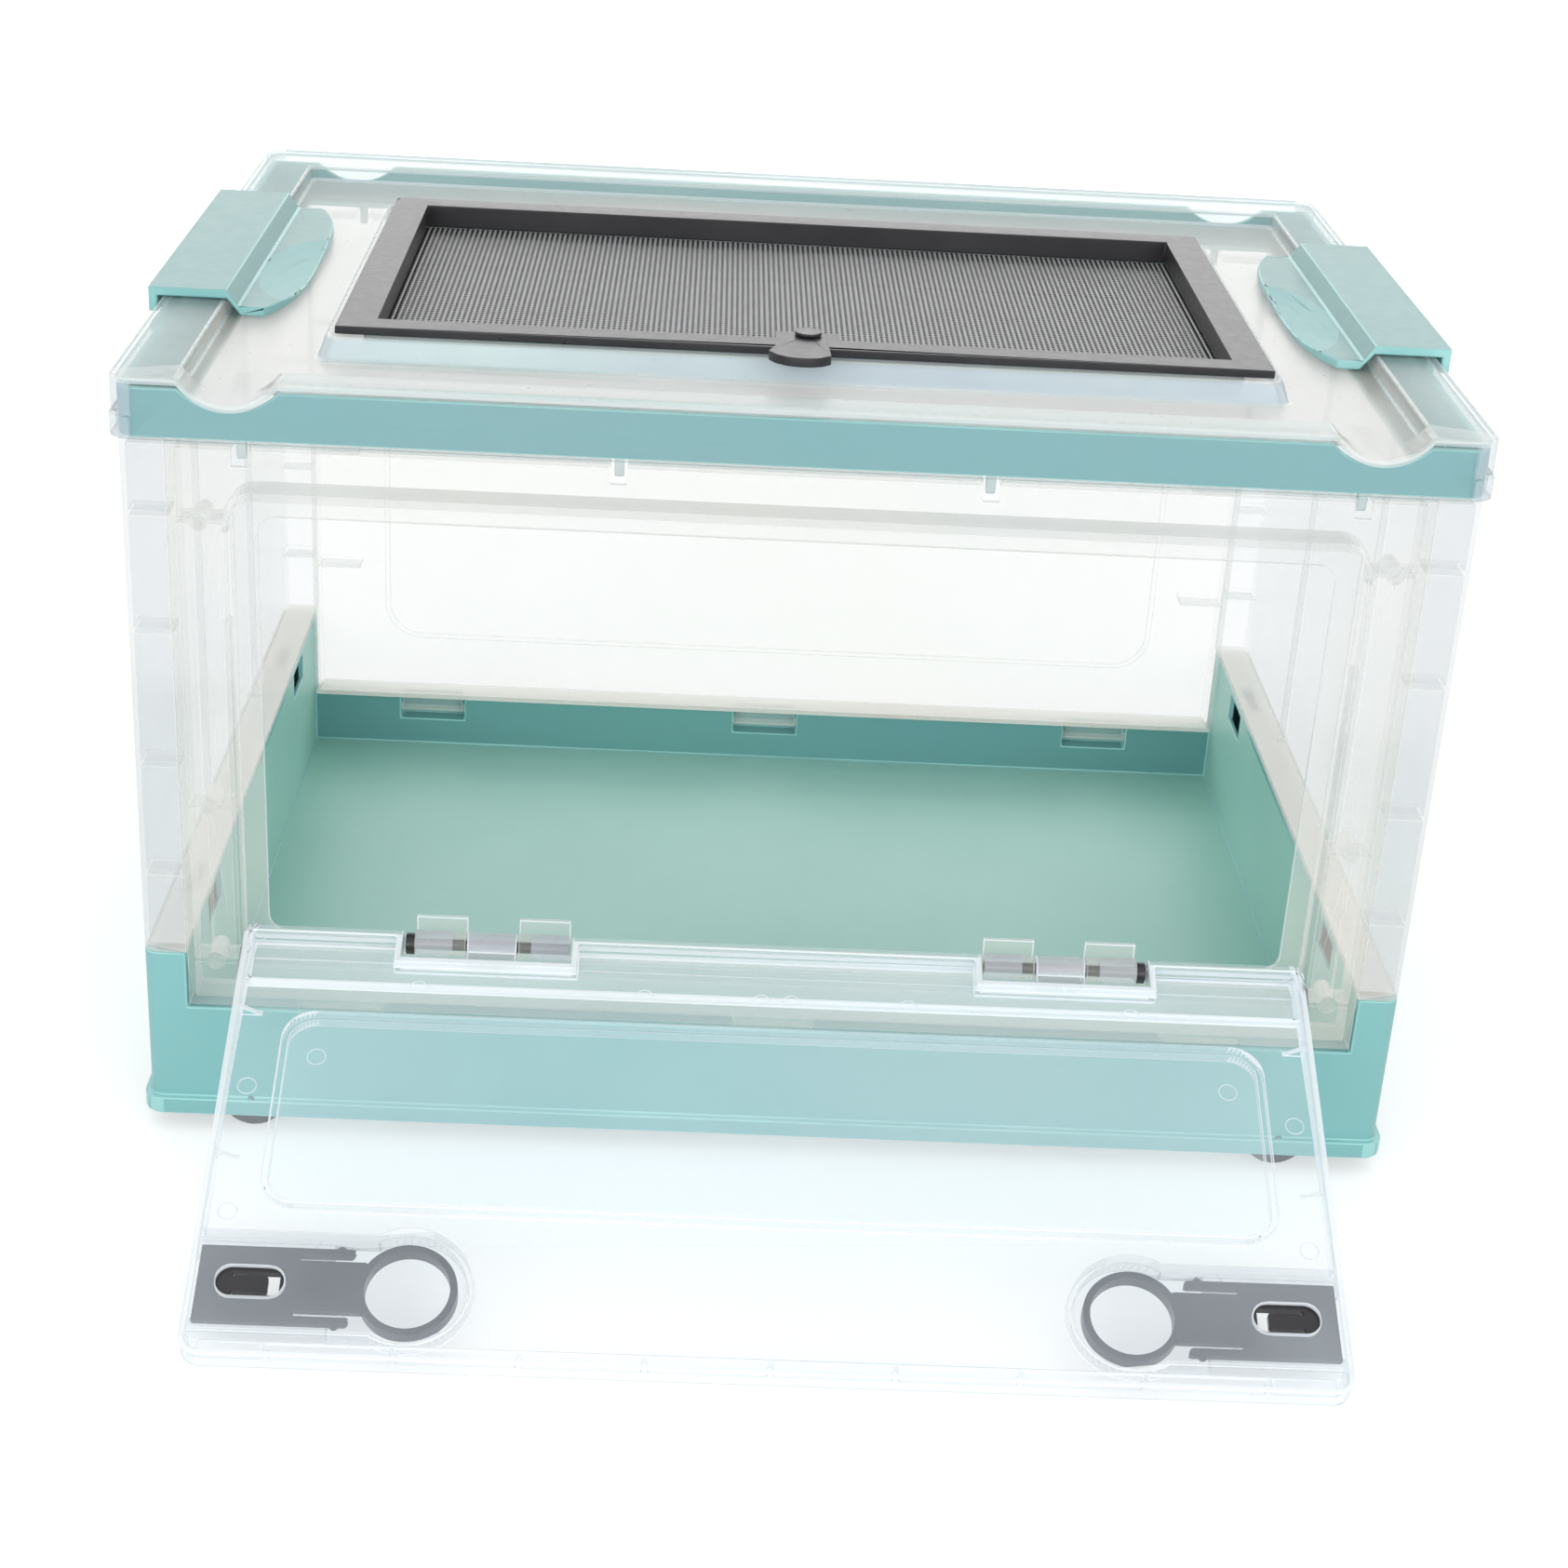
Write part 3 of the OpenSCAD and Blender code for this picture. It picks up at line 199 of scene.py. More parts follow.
materials = {
    "green": plastic("greenPlastic", "green", "greenDeep", 0.36, flow=5.0),
    # the rounded edges of green parts: painted highlight
    "greenEdgeHighlight": plastic("greenPlasticEdgeHighlight", "greenEdgeHighlight", "green", 0.3, flow=9.0),
    "paintedShadeWallGreen": plastic("paintedShadeWallPlastic", "paintedShadeWallGreen", "bandDeep", 0.42, flow=6.0),
    "band": plastic("bandPlastic", "band", "bandDeep", 0.36, flow=4.0, stretch=(0.3, 1, 1)),
    # the clamps' thumb dishes in the tray's more saturated green: painted shading, for slopes that catch less
    # glare than the tab
    "paintedShadingDish": plastic("paintedShadingDishPlastic", "green", "greenDeep", 0.4, flow=9.0),
    # the clamps in a darker copy of the green: painted shade and grey reflection on their tops
    "clamp": plastic("clampPaintedShadePlastic", "clamp", "clampDeep", 0.36, flow=14.0, stretch=(1, 0.4, 1)),
    "paintedLightGreen": plastic("paintedLightGreenPlastic", "paintedLightGreen", "paintedLightGreenDeep", 0.42, flow=6.0),
    "clear": plastic("clearPlastic", "clear", "clearWarm", 0.24, haze=0.15, grazing=0.12),
    "side": plastic("sidePlastic", "side", "clear", 0.24, haze=0.16, grazing=0.14),
    "door": plastic("doorPlastic", "door", "doorPale", 0.2, haze=0.08, grazing=0.12),
    "lid": plastic("lidPlastic", "lid", "lidWarm", 0.3, flow=4.0, haze=0.3, grazing=0.2),
    "plateau": plastic("plateauPlastic", "plateau", "doorPale", 0.2, flow=5.0, haze=0.16, grazing=0.1),
    "latchSkin": plastic("latchSkinPlastic", "coaming", "door", 0.2, haze=0.17, grazing=0.12),
    "knuckle": plastic("knucklePlastic", "knuckle", "clear", 0.26, haze=0.5, grazing=0.1),
    "skirt": plastic("skirtPlastic", "border", "clear", 0.26, haze=0.05, grazing=0.24),
    "border": plastic("borderPlastic", "border", "lid", 0.3, haze=0.42, grazing=0.24),
    "borderThin": plastic("thinBorderPlastic", "borderDeep", "border", 0.3, haze=0.3, grazing=0.12),
    "rim": plastic("rimPlastic", "rim", "clear", 0.3, haze=0.55, grazing=0.2),
    "corner": plastic("cornerPlastic", "coaming", "border", 0.3, haze=0.34, grazing=0.3),
    "coaming": plastic("coamingPlastic", "coaming", "border", 0.3, haze=0.8, grazing=0.1),
    "milk": plastic("milkyPlastic", "milk", "clearWarm", 0.34, haze=0.72, grazing=0.1),
    "tunnel": plastic("tunnelPlastic", "tunnel", "clearWarm", 0.3, haze=0.42, grazing=0.1),
    "rib": plastic("ribPlastic", "rib", "clear", 0.34, haze=0.85, grazing=0.1),
    # edge finishes of clear plastic: denser haze for plastic seen edge-on, and a whiter colour as painted
    # highlight
    "clearEdgeHighlight": plastic("clearPlasticEdgeHighlight", "clearEdgeHighlight", "doorPale", 0.25, haze=0.66, grazing=0.2),
    "panelEdgeHighlight": plastic("panelPlasticEdgeHighlight", "panelEdgeHighlight", "clearWarm", 0.28, haze=0.34, grazing=0.16),
    "lidEdgeHighlight": plastic("lidPlasticEdgeHighlight", "panelEdgeHighlight", "border", 0.28, haze=0.5, grazing=0.2),
    "black": plastic("blackPlastic", "black", "blackMottleAndEdgeHighlight", 0.34, flow=22.0, bump=0.12, stretch=(1, 0.15, 1)),
    # the rounded edges of black parts: a lighter black as painted highlight
    "blackEdgeHighlight": plastic("blackPlasticEdgeHighlight", "blackMottleAndEdgeHighlight", "black", 0.3, flow=30.0),
    "steel": plastic("steelPin", "steel", "threadHighlightGrey", 0.25, flow=60.0),
    "threadHighlightGrey": plastic("threadHighlightGrey", "threadHighlightGrey", "steel", 0.5, flow=180.0),
    "threadDark": plastic("threadDark", "threadDark", "black", 0.5, flow=180.0),
}
print("materials made")


def toObject(bm, name, slots, body, replaced=(), smooth=True):
    mesh = bpy.data.meshes.new(name)
    bm.to_mesh(mesh)
    bm.free()
    for slot in slots:
        mesh.materials.append(materials[slot])
    if smooth:
        mesh.polygons.foreach_set("use_smooth", [True] * len(mesh.polygons))
    piece = bpy.data.objects.new(name, mesh)
    scene.collection.objects.link(piece)
    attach(piece, body)
    if replaced:
        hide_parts(*replaced)
    return piece


def weighNormals(piece):
    modifier = piece.modifiers.new("weighNormals", "WEIGHTED_NORMAL")
    modifier.weight = 100
    modifier.keep_sharp = True


softening = {"smallWidth": 0.2 * mm, "segments": 2, "angle": math.radians(28), "stray": 2.2,
             "narrow": 3.2 * mm, "deep": 3.6 * mm, "skip": 0.05 * mm, "flat": math.radians(0.6)}


def cutFaces(bm, faces, co, normal):
    geom = list({item for face in faces for item in (face, *face.edges, *face.verts)})
    bmesh.ops.bisect_plane(bm, geom=geom, dist=hair, plane_co=co, plane_no=normal)


def snapStrays(bm, surface, width):
    for vert in bm.verts:
        nearest, _, _, distance = surface.find_nearest(vert.co)
        if distance > softening["stray"] * width:
            vert.co = nearest


def roundEdges(bm, edges, width, segments, slide=False):  # the new faces take a piece's second finish, on most pieces a painted edge highlight
    made = bmesh.ops.bevel(bm, geom=edges, offset=width, offset_type="OFFSET", segments=segments, profile=0.5,
                           affect="EDGES", clamp_overlap=False, material=-1, loop_slide=slide)
    for face in made["faces"]:
        face.material_index = 1


# Merges a copy of a node's mesh, rounds its sharp edges, puts stray corners back on the shape
def softened(nodeName, width):
    bm = bmesh.new()
    bm.from_mesh(nodes[nodeName].data)
    bmesh.ops.remove_doubles(bm, verts=bm.verts, dist=2 * hair)
    bmesh.ops.dissolve_degenerate(bm, dist=10 * hair, edges=bm.edges)
    if nodeName in finishOf["clamp"]:
        carveThumb(bm, nodeName)
    surface = BVHTree.FromBMesh(bm)
    sharp = [edge for edge in bm.edges
             if len(edge.link_faces) == 2 and edge.calc_face_angle(0) > softening["angle"]]
    roundEdges(bm, sharp, width, softening["segments"], slide=True)
    snapStrays(bm, surface, width)
    bmesh.ops.dissolve_degenerate(bm, dist=hair, edges=bm.edges)
    for face in bm.faces:  # rounded edges and curved walls are smooth, flat walls stay flat
        face.smooth = face.material_index == 1 or any(
            softening["flat"] < edge.calc_face_angle(0) < softening["angle"] for edge in face.edges
            if all(other.material_index == 0 for other in edge.link_faces))
    for face in bm.faces:  # the ends of ribs and walls take the edge finish too, a painted highlight
        longest = max(edge.calc_length() for edge in face.edges)
        if face.material_index == 0 and 2 * face.calc_area() < longest * softening["narrow"]:
            start = face.calc_center_median() - face.normal * softening["skip"]
            _, _, _, depth = surface.ray_cast(start, -face.normal)
            if depth is None or depth > softening["deep"]:
                face.material_index = 1
    return bm


# Thumb dish of a clamp's tab: nested elliptic cuts, lowered towards the tab's tip
thumb = {"across": 17.5 * mm, "along": 42 * mm, "middle": -19 * mm, "deep": 1.8 * mm, "rings": 4, "sides": 28,
         "reach": 15 * mm, "slack": 0.02 * mm, "flat": 0.99, "steepest": 0.9, "level": 0.99999}


def carveThumb(bm, nodeName):
    low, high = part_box(nodeName)
    tip = high[0] if high[0] < 0 else low[0]
    top = max(vert.co.z for vert in bm.verts if abs(vert.co.x) < abs(tip) + thumb["reach"])
    middle = Vector((tip, thumb["middle"], top))
    radii = Vector((thumb["across"], thumb["along"], 0))
    planes = []
    for ring in range(thumb["rings"]):
        outer, planes = planes, []
        for index in range(thumb["sides"]):
            angle = 2 * math.pi * index / thumb["sides"]
            spoke = Vector((radii.x * math.cos(angle), radii.y * math.sin(angle), 0))
            point = middle + (1 - ring / thumb["rings"]) * spoke
            facing = Vector((math.cos(angle) / radii.x, math.sin(angle) / radii.y, 0)).normalized()
            inside = [face for face in bm.faces if face.normal.z > thumb["flat"]
                      and abs(face.calc_center_median().z - top) < thumb["slack"]
                      and all((face.calc_center_median() - at).dot(way) < 0 for at, way in outer + planes)]
            cutFaces(bm, inside, point, facing)
            planes.append((point, facing))
    for vert in bm.verts:
        away = ((vert.co.x - middle.x) / radii.x) ** 2 + ((vert.co.y - middle.y) / radii.y) ** 2
        if abs(vert.co.z - top) < thumb["slack"] and away < 1:
            vert.co.z -= thumb["deep"] * (1 - away)

    def stayed(verts):
        return all(abs(vert.co.z - top) < 0.1 * hair for vert in verts)

    for edge in bm.edges:  # the dish ends in a crisp line
        if stayed(edge.verts) and not all(stayed(face.verts) for face in edge.link_faces):
            edge.smooth = False


# Which finish each node takes: body, edges (on most a lighter finish as painted highlight), the record's slot, the
# width of its edges
finishes = {
    "green": ("green", "greenEdgeHighlight", "green", 0.5 * mm),
    "band": ("band", "greenEdgeHighlight", "green", 0.4 * mm),
    "clamp": ("clamp", "greenEdgeHighlight", "green", 0.6 * mm),
    "clear": ("clear", "panelEdgeHighlight", "clear", 0.25 * mm),
    "door": ("door", "clearEdgeHighlight", "clear", 0.45 * mm),
    "side": ("side", "panelEdgeHighlight", "clear", 0.3 * mm),
    "black": ("black", "blackEdgeHighlight", "black", 0.4 * mm),
    "steel": ("steel", "steel", "steel", 0.2 * mm),
}
finishOf = {
    "green": ["base_tray"],
    "band": ["top_frame"],
    "clamp": ["clamp_left", "clamp_right"],
    "clear": ["front_panel", "rear_panel"],
    "side": ["side_panel_left", "side_panel_right"],
    "door": ["door"],
    "black": ["door_pin_left", "door_pin_right", "latch_left", "latch_right", "hatch_frame", "mesh_retainer",
              "knob_rivet", "hatch_knob", "wheel_front_left", "wheel_front_right", "wheel_rear_left",
              "wheel_rear_right"],
    "steel": ["wheel_axles", "clamp_pin_left", "clamp_pin_right", "hatch_pins"],
}
smallNodes = {"door_pin_left", "door_pin_right", "knob_rivet", "hatch_pins", "clamp_pin_left",
              "clamp_pin_right", "wheel_axles", "hatch_knob"}
dressed = {}
for finish, names in finishOf.items():
    body, edge, slotName, edgeWidth = finishes[finish]
    for name in names:
        bm = softened(name, softening["smallWidth"] if name in smallNodes else edgeWidth)
        dressed[name] = toObject(bm, name + "_dressed", (body, edge), bodyOf[name], (name,),
                                 smooth=False)
        weighNormals(dressed[name])


# Gives the faces that a test picks another finish, with or without their edges
def repaint(piece, finish, chosen, edges=False):
    mesh = piece.data
    mesh.materials.append(materials[finish])
    for polygon in mesh.polygons:
        if (edges or polygon.material_index == 0) and chosen(polygon.center, polygon.normal):
            polygon.material_index = len(mesh.materials) - 1


# Cuts the faces that a test picks along planes across X
def cutAcross(piece, places, chosen):
    bm = bmesh.new()
    bm.from_mesh(piece.data)
    for place in places:
        faces = [face for face in bm.faces if chosen(face.calc_center_median(), face.normal)]
        cutFaces(bm, faces, (place, 0, 0), (1, 0, 0))
    bm.to_mesh(piece.data)
    bm.free()


# Zones of the pieces that look denser or paler than the rest; the tray's floor and inner side walls take painted
# light, its rear wall painted shade
zones = {"hookDrop": 12.3 * mm, "plate": 3 * mm, "barDrop": 9.4 * mm, "floorRise": 3.6 * mm,
         "wallAcross": 15 * mm, "wallAlong": 12 * mm, "wallBehind": 14.4 * mm, "tunnelHead": 17.8 * mm,
         "tunnelThick": 2.6 * mm, "openingHalf": 171.6 * mm, "slack": 0.2 * mm, "square": 0.9, "aslant": 0.6}
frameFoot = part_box("lid")[0][2]
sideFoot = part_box("side_panel_left")[0][2] + zones["hookDrop"]
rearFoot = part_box("rear_panel")[0][2] + zones["barDrop"]
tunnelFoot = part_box("front_panel")[1][2] - zones["tunnelHead"]
(trayLeft, trayFront, trayFoot), (trayRight, trayRear, _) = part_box("base_tray")


def onPlate(foot):
    return lambda at, facing: foot - zones["slack"] < at.z < foot + zones["plate"]


def onThumb(tip):  # the lowered faces of a clamp's thumb dish
    def test(at, facing):
        away = math.hypot((at.x - tip) / thumb["across"], (at.y - thumb["middle"]) / thumb["along"])
        return away < 1 and thumb["steepest"] < facing.z < thumb["level"]
    return test


def insideTray(at, facing):
    across = trayLeft + zones["wallAcross"] < at.x < trayRight - zones["wallAcross"]
    along = trayFront + zones["wallAlong"] < at.y < trayRear - zones["wallAlong"]
    return across and along and at.z > trayFoot + zones["floorRise"]


def rearWall(at, facing):
    behind = at.y > trayRear - zones["wallBehind"]
    return behind and facing.y < -zones["square"] and not insideTray(at, facing)


def inTunnel(at, facing):
    return abs(facing.z) > zones["square"] and 0 < at.z - tunnelFoot < zones["tunnelThick"]


repaint(dressed["top_frame"], "rib", lambda at, facing: at.z < frameFoot - zones["slack"], edges=True)
# the thumb dishes take the tray's green: painted shading, for slopes that catch less glare than the tab
repaint(dressed["clamp_left"], "paintedShadingDish", onThumb(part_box("clamp_left")[1][0]))
repaint(dressed["clamp_right"], "paintedShadingDish", onThumb(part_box("clamp_right")[0][0]))
# the inside of the tray's rear wall takes a darker green: painted shade
repaint(dressed["base_tray"], "paintedShadeWallGreen", rearWall)
repaint(dressed["side_panel_left"], "milk", onPlate(sideFoot))
repaint(dressed["side_panel_right"], "milk", onPlate(sideFoot))
repaint(dressed["rear_panel"], "milk", onPlate(rearFoot))
repaint(dressed["front_panel"], "tunnel", inTunnel)
# the tray's floor and inner side walls take a lighter green: painted light
repaint(dressed["base_tray"], "paintedLightGreen", insideTray)

# The door hangs open at rest; its own measures are taken as if it were closed, from the hinge axis
doorHinge = next(joint for joint in frame["joints"] if joint["name"] == "door_hinge")
hingeAt = Vector(doorHinge["pos_m"])
openTurn = Matrix.Translation(hingeAt) @ Matrix.Rotation(math.radians(doorHinge["range_deg"][1]), 4, "X")
closedTurn = openTurn.inverted()
hinge = {"middle": 96 * mm, "doorHalf": 8.6 * mm, "gapEnd": 13.2 * mm, "half": 26 * mm, "reach": 5 * mm,
         "pocketIn": 69.1 * mm, "pocketOut": 125.9 * mm, "pocketTop": 8.5 * mm, "wall": 2 * mm,
         "slack": 0.3 * mm, "lugTop": 7.7 * mm, "lugBack": 6 * mm, "lugThick": 1.8 * mm, "lugFoot": 1 * mm,
         "lugEdge": 0.4 * mm}
plateau = {"halfWidth": 161.8 * mm, "low": 30 * mm, "high": 102 * mm}
latchSkin = {"inner": 80 * mm, "z": 129.9 * mm, "half": 19 * mm, "level": -1.7 * mm}


def onKnuckle(low, high):  # faces round the hinge axis, by distance from the hinge's middle
    def test(at, facing):
        beside = abs(abs(at.x) - hinge["middle"])
        return (at.yz - hingeAt.yz).length < hinge["reach"] and low < beside < high
    return test


def onPocket(at, facing):
    _, _, z = closedTurn @ at
    x, wall, slack = abs(at.x), hinge["wall"], hinge["slack"]
    inside = hinge["pocketIn"] - wall - slack < x < hinge["pocketOut"] + wall + slack
    aside = inside and not hinge["pocketIn"] + slack < x < hinge["pocketOut"] - slack
    top = hinge["pocketTop"]
    return inside and (top - slack < z < top + wall + slack or aside and z < top + wall)


def onPlateau(at, facing):
    _, _, z = closedTurn @ at
    return abs(at.x) < plateau["halfWidth"] and plateau["low"] < z < plateau["high"]


def overLatch(at, facing):  # the raised skin over a latch
    _, y, z = closedTurn @ at
    beside = abs(z - latchSkin["z"]) < latchSkin["half"]
    return beside and abs(at.x) > latchSkin["inner"] and y > latchSkin["level"]


def onOpening(at, facing):  # the upright walls of the doorway
    return abs(abs(at.x) - zones["openingHalf"]) < 2 * zones["slack"] and abs(facing.x) > zones["aslant"]


cuts = [side * (hinge["middle"] + way * hinge["gapEnd"]) for side in (-1, 1) for way in (-1, 1)]
cutAcross(dressed["front_panel"], cuts, onKnuckle(0, hinge["half"]))
repaint(dressed["front_panel"], "knuckle", onKnuckle(hinge["gapEnd"], hinge["half"]))
# the doorway's upright walls and the door's pocket outlines take the white edge finish: plastic seen edge-on, and
# painted highlight
repaint(dressed["front_panel"], "clearEdgeHighlight", onOpening, edges=True)
repaint(dressed["door"], "knuckle", onKnuckle(-hair, hinge["doorHalf"]))
repaint(dressed["door"], "clearEdgeHighlight", onPocket, edges=True)
repaint(dressed["door"], "plateau", onPlateau)
repaint(dressed["door"], "latchSkin", overLatch)
print("nodes softened")


# Lugs of the front panel behind its hinge knuckles
def shapeLugs():
    bm = bmesh.new()
    width = hinge["half"] - hinge["doorHalf"]
    height = hinge["lugTop"] + hinge["lugFoot"]
    for side in (-1, 1):
        for way in (-1, 1):
            x = side * hinge["middle"] + way * (hinge["doorHalf"] + width / 2)
            y = hingeAt.y + hinge["lugBack"]
            z = hingeAt.z - hinge["lugFoot"] + height / 2
            lug = Matrix.Diagonal((width, hinge["lugThick"], height, 1))
            bmesh.ops.create_cube(bm, size=1, matrix=Matrix.Translation((x, y, z)) @ lug)
    roundEdges(bm, bm.edges[:], hinge["lugEdge"], softening["segments"])
    return bm


weighNormals(toObject(shapeLugs(), "hinge_lugs", ("clear", "clearEdgeHighlight"), "front_wall"))

# Marks of the mould on the door: ejector rings, half rounds on the hinge strip, arcs round the latches
marks = {"thick": 0.16 * mm, "profile": 5, "skin": -2.2 * mm, "strip": 1.2 * mm, "ringRadius": 3 * mm,
         "rings": [(171, 57), (171, 103), (150, 45)], "halves": [(119, 19), (44, 19), (-5, 19)],
         "ringSteps": 20, "halfSteps": 12, "arcX": 112 * mm, "arcZ": 129.9 * mm, "arcRadius": 33 * mm,
         "arcSweep": 1.0, "arcTilt": 0.05, "arcSteps": 18, "recess": -1.4 * mm}


# A thin round wire bent about the y axis; a corner of its profile points off the door
def ringMark(bm, place, radius, start, sweep, steps):
    made = bmesh.ops.create_circle(bm, segments=marks["profile"], radius=marks["thick"],
                                   matrix=Matrix.Rotation(math.pi, 4, "X"))
    bmesh.ops.translate(bm, verts=made["verts"], vec=(radius, 0, 0))
    bmesh.ops.rotate(bm, verts=made["verts"], cent=(0, 0, 0), matrix=Matrix.Rotation(-start, 3, "Y"))
    ring = list({edge for vert in made["verts"] for edge in vert.link_edges})
    bmesh.ops.spin(bm, geom=ring, cent=(0, 0, 0), axis=(0, -1, 0), angle=sweep, steps=steps,
                   use_merge=math.isclose(sweep, 2 * math.pi))
    verts = [vert for vert in bm.verts if not vert.tag]
    bmesh.ops.translate(bm, verts=verts, vec=place)
    for vert in verts:
        vert.tag = True


def shapeMarks():
    bm = bmesh.new()
    radius = marks["ringRadius"]
    for side in (-1, 1):
        for x, z in marks["rings"]:
            place = (side * x * mm, marks["skin"], z * mm)
            ringMark(bm, place, radius, 0, 2 * math.pi, marks["ringSteps"])
        for x, z in marks["halves"]:
            place = (side * x * mm, marks["strip"], z * mm)
            ringMark(bm, place, radius, math.pi, math.pi, marks["halfSteps"])
        place = (side * marks["arcX"], marks["recess"], marks["arcZ"])
        outwards = 0 if side > 0 else math.pi
        start = outwards - marks["arcSweep"] / 2 - side * marks["arcTilt"]
        ringMark(bm, place, marks["arcRadius"], start, marks["arcSweep"], marks["arcSteps"])
    bmesh.ops.holes_fill(bm, edges=bm.edges[:], sides=marks["profile"])
    bmesh.ops.recalc_face_normals(bm, faces=bm.faces)
    bmesh.ops.transform(bm, matrix=openTurn, verts=bm.verts)
    return bm


# the mould marks take the white edge finish, a painted highlight
toObject(shapeMarks(), "door_mould_marks", ("clearEdgeHighlight",), "door")
print("door marked")

# Lid: rounded rings of one shell, from the skirt's foot up and over into the hatch's well
lid = {"cornerSteps": 6, "wall": 2.0 * mm, "fillet": 1.1 * mm, "filletSteps": 3, "snap": 0.77 * mm,
       "angle": math.radians(24), "step": 0.5 * mm, "stepHeight": 6.9 * mm, "skirt": 19.8 * mm,
       "outerRadius": 7 * mm, "innerRadius": 2.5 * mm, "sideBorder": 21.5 * mm, "frontBorder": 12.5 * mm,
       "rearBorder": 26.5 * mm, "fieldDrop": 5.9 * mm, "coamingRise": 7.1 * mm, "wellDepth": 9.3 * mm,
       "hatchDepth": 176.5 * mm, "hatchFront": 20 * mm, "coamingFoot": 5.4 * mm, "coamingHead": 3 * mm,
       "coamingRadius": 5 * mm, "wellGap": 0.6 * mm, "level": 0.6 * mm, "rim": 2.4 * mm,
       "scoopAcross": 30 * mm, "scoopDeep": 8 * mm, "scoopInset": 37 * mm, "scoopSlices": 12,
       "troughLength": 15 * mm, "runOut": 2 * mm, "frontReach": 60 * mm, "clampLength": 142 * mm,
       "clampCut": 11 * mm, "clampNear": 30 * mm, "skirtShare": 0.985, "sideShare": 0.98, "steep": 0.1,
       "leaning": 0.7, "square": 0.9}
# the lid's second finish is its edge finish, a painted highlight
lidSlots = ("lid", "lidEdgeHighlight", "skirt", "border", "coaming", "borderThin", "rim", "corner")


# Half width, front, rear, corner radius and height of each ring
def lidLevels(low, high):
    hatchLow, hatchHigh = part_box("hatch_frame")
    meshLow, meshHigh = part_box("hatch_mesh")
    step, top = lid["step"], high.z
    field = top - lid["fieldDrop"]
    crown = field + lid["coamingRise"]
    shelf = low.z + lid["stepHeight"]
    outer = (high.x, low.y, high.y)
    inner = (high.x - lid["sideBorder"], low.y + lid["frontBorder"], high.y - lid["rearBorder"])
    hatch = (hatchHigh[0], hatchLow[1], hatchLow[1] + lid["hatchDepth"])
    well = (meshHigh[0], meshLow[1], meshHigh[1], lid["wellGap"])
    outerRadius, innerRadius, radius = lid["outerRadius"], lid["innerRadius"], lid["coamingRadius"]

    def ring(halfX, front, rear, grow, radius, z):
        return halfX + grow, front - grow, rear + grow, radius, z

    return [ring(*outer, 0, outerRadius, low.z), ring(*outer, 0, outerRadius, shelf),
            ring(*outer, -step, outerRadius, shelf + step),
            ring(*outer, -step, outerRadius, top - lid["rim"]), ring(*outer, -step, outerRadius, top),
            ring(*inner, 0, innerRadius, top), ring(*inner, -step, innerRadius, field),
            ring(*hatch, lid["coamingFoot"], radius, field), ring(*hatch, lid["coamingHead"], radius, crown),
            ring(*well, innerRadius, crown), ring(*well, innerRadius, crown - lid["wellDepth"])]


# Moves a face's corners on to a rounded rectangle
def moveTo(face, level):
    halfX, front, rear, radius, z = level
    steps = lid["cornerSteps"]
    for index, vert in enumerate(face.verts):
        corner, step = divmod(index, steps + 1)
        angle = math.pi / 2 * (corner + step / steps)
        centreX = (1 if corner in (0, 3) else -1) * (halfX - radius)
        centreY = rear - radius if corner in (0, 1) else front + radius
        vert.co = (centreX + radius * math.cos(angle), centreY + radius * math.sin(angle), z)


def onSkirt(at, high):
    return max(abs(at.x) / high.x, abs(at.y) / high.y) > lid["skirtShare"]


def shapeLid():
    low, high = (Vector(corner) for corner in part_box("lid"))
    high.z = low.z + lid["skirt"]
    levels = lidLevels(low, high)
    bm = bmesh.new()
    bmesh.ops.create_circle(bm, cap_ends=True, segments=4 * (lid["cornerSteps"] + 1), radius=1)
    face = bm.faces[:][0]
    if face.normal.z < 0:
        face.normal_flip()
    moveTo(face, levels[0])
    for level in levels[1:]:
        face = bmesh.ops.extrude_discrete_faces(bm, faces=[face])["faces"][0]
        moveTo(face, level)
    bmesh.ops.delete(bm, geom=[face], context="FACES_ONLY")
    foot = [face for face in bm.faces if len(face.verts) > 4]
    bmesh.ops.delete(bm, geom=foot, context="FACES_ONLY")
    for face in bm.faces:  # the head of the skirt is denser
        at = face.calc_center_median()
        if onSkirt(at, high) and at.z > high.z - lid["rim"] and abs(face.normal.z) < lid["steep"]:
            face.material_index = lidSlots.index("rim")
    cutScoops(bm, high)
    cutForClamps(bm, low, high)
    bmesh.ops.remove_doubles(bm, verts=bm.verts, dist=hair)
    bmesh.ops.recalc_face_normals(bm, faces=bm.faces)
    surface = BVHTree.FromBMesh(bm)
    sharp = [edge for edge in bm.edges if len(edge.link_faces) == 2
             and edge.calc_face_angle(0) > lid["angle"] and isRounded(edge, low, high)]
    roundEdges(bm, sharp, lid["fillet"], lid["filletSteps"], slide=True)
    snapStrays(bm, surface, lid["snap"])
    finishLid(bm, low, high)
    return bm


def isRounded(edge, low, high):  # not along the skirt's step, nor where a scoop runs out
    at = (edge.verts[0].co + edge.verts[1].co) / 2
    shelf = low.z + lid["stepHeight"]
    onStep = shelf - lid["step"] < at.z < shelf + 2 * lid["step"]
    beside = abs(abs(at.x) - (high.x - lid["scoopInset"])) < lid["scoopAcross"] / 2 + lid["step"]
    behind = at.y - low.y - lid["frontBorder"]
    return not onStep and not (beside and -lid["fillet"] < behind < lid["troughLength"] + lid["runOut"])


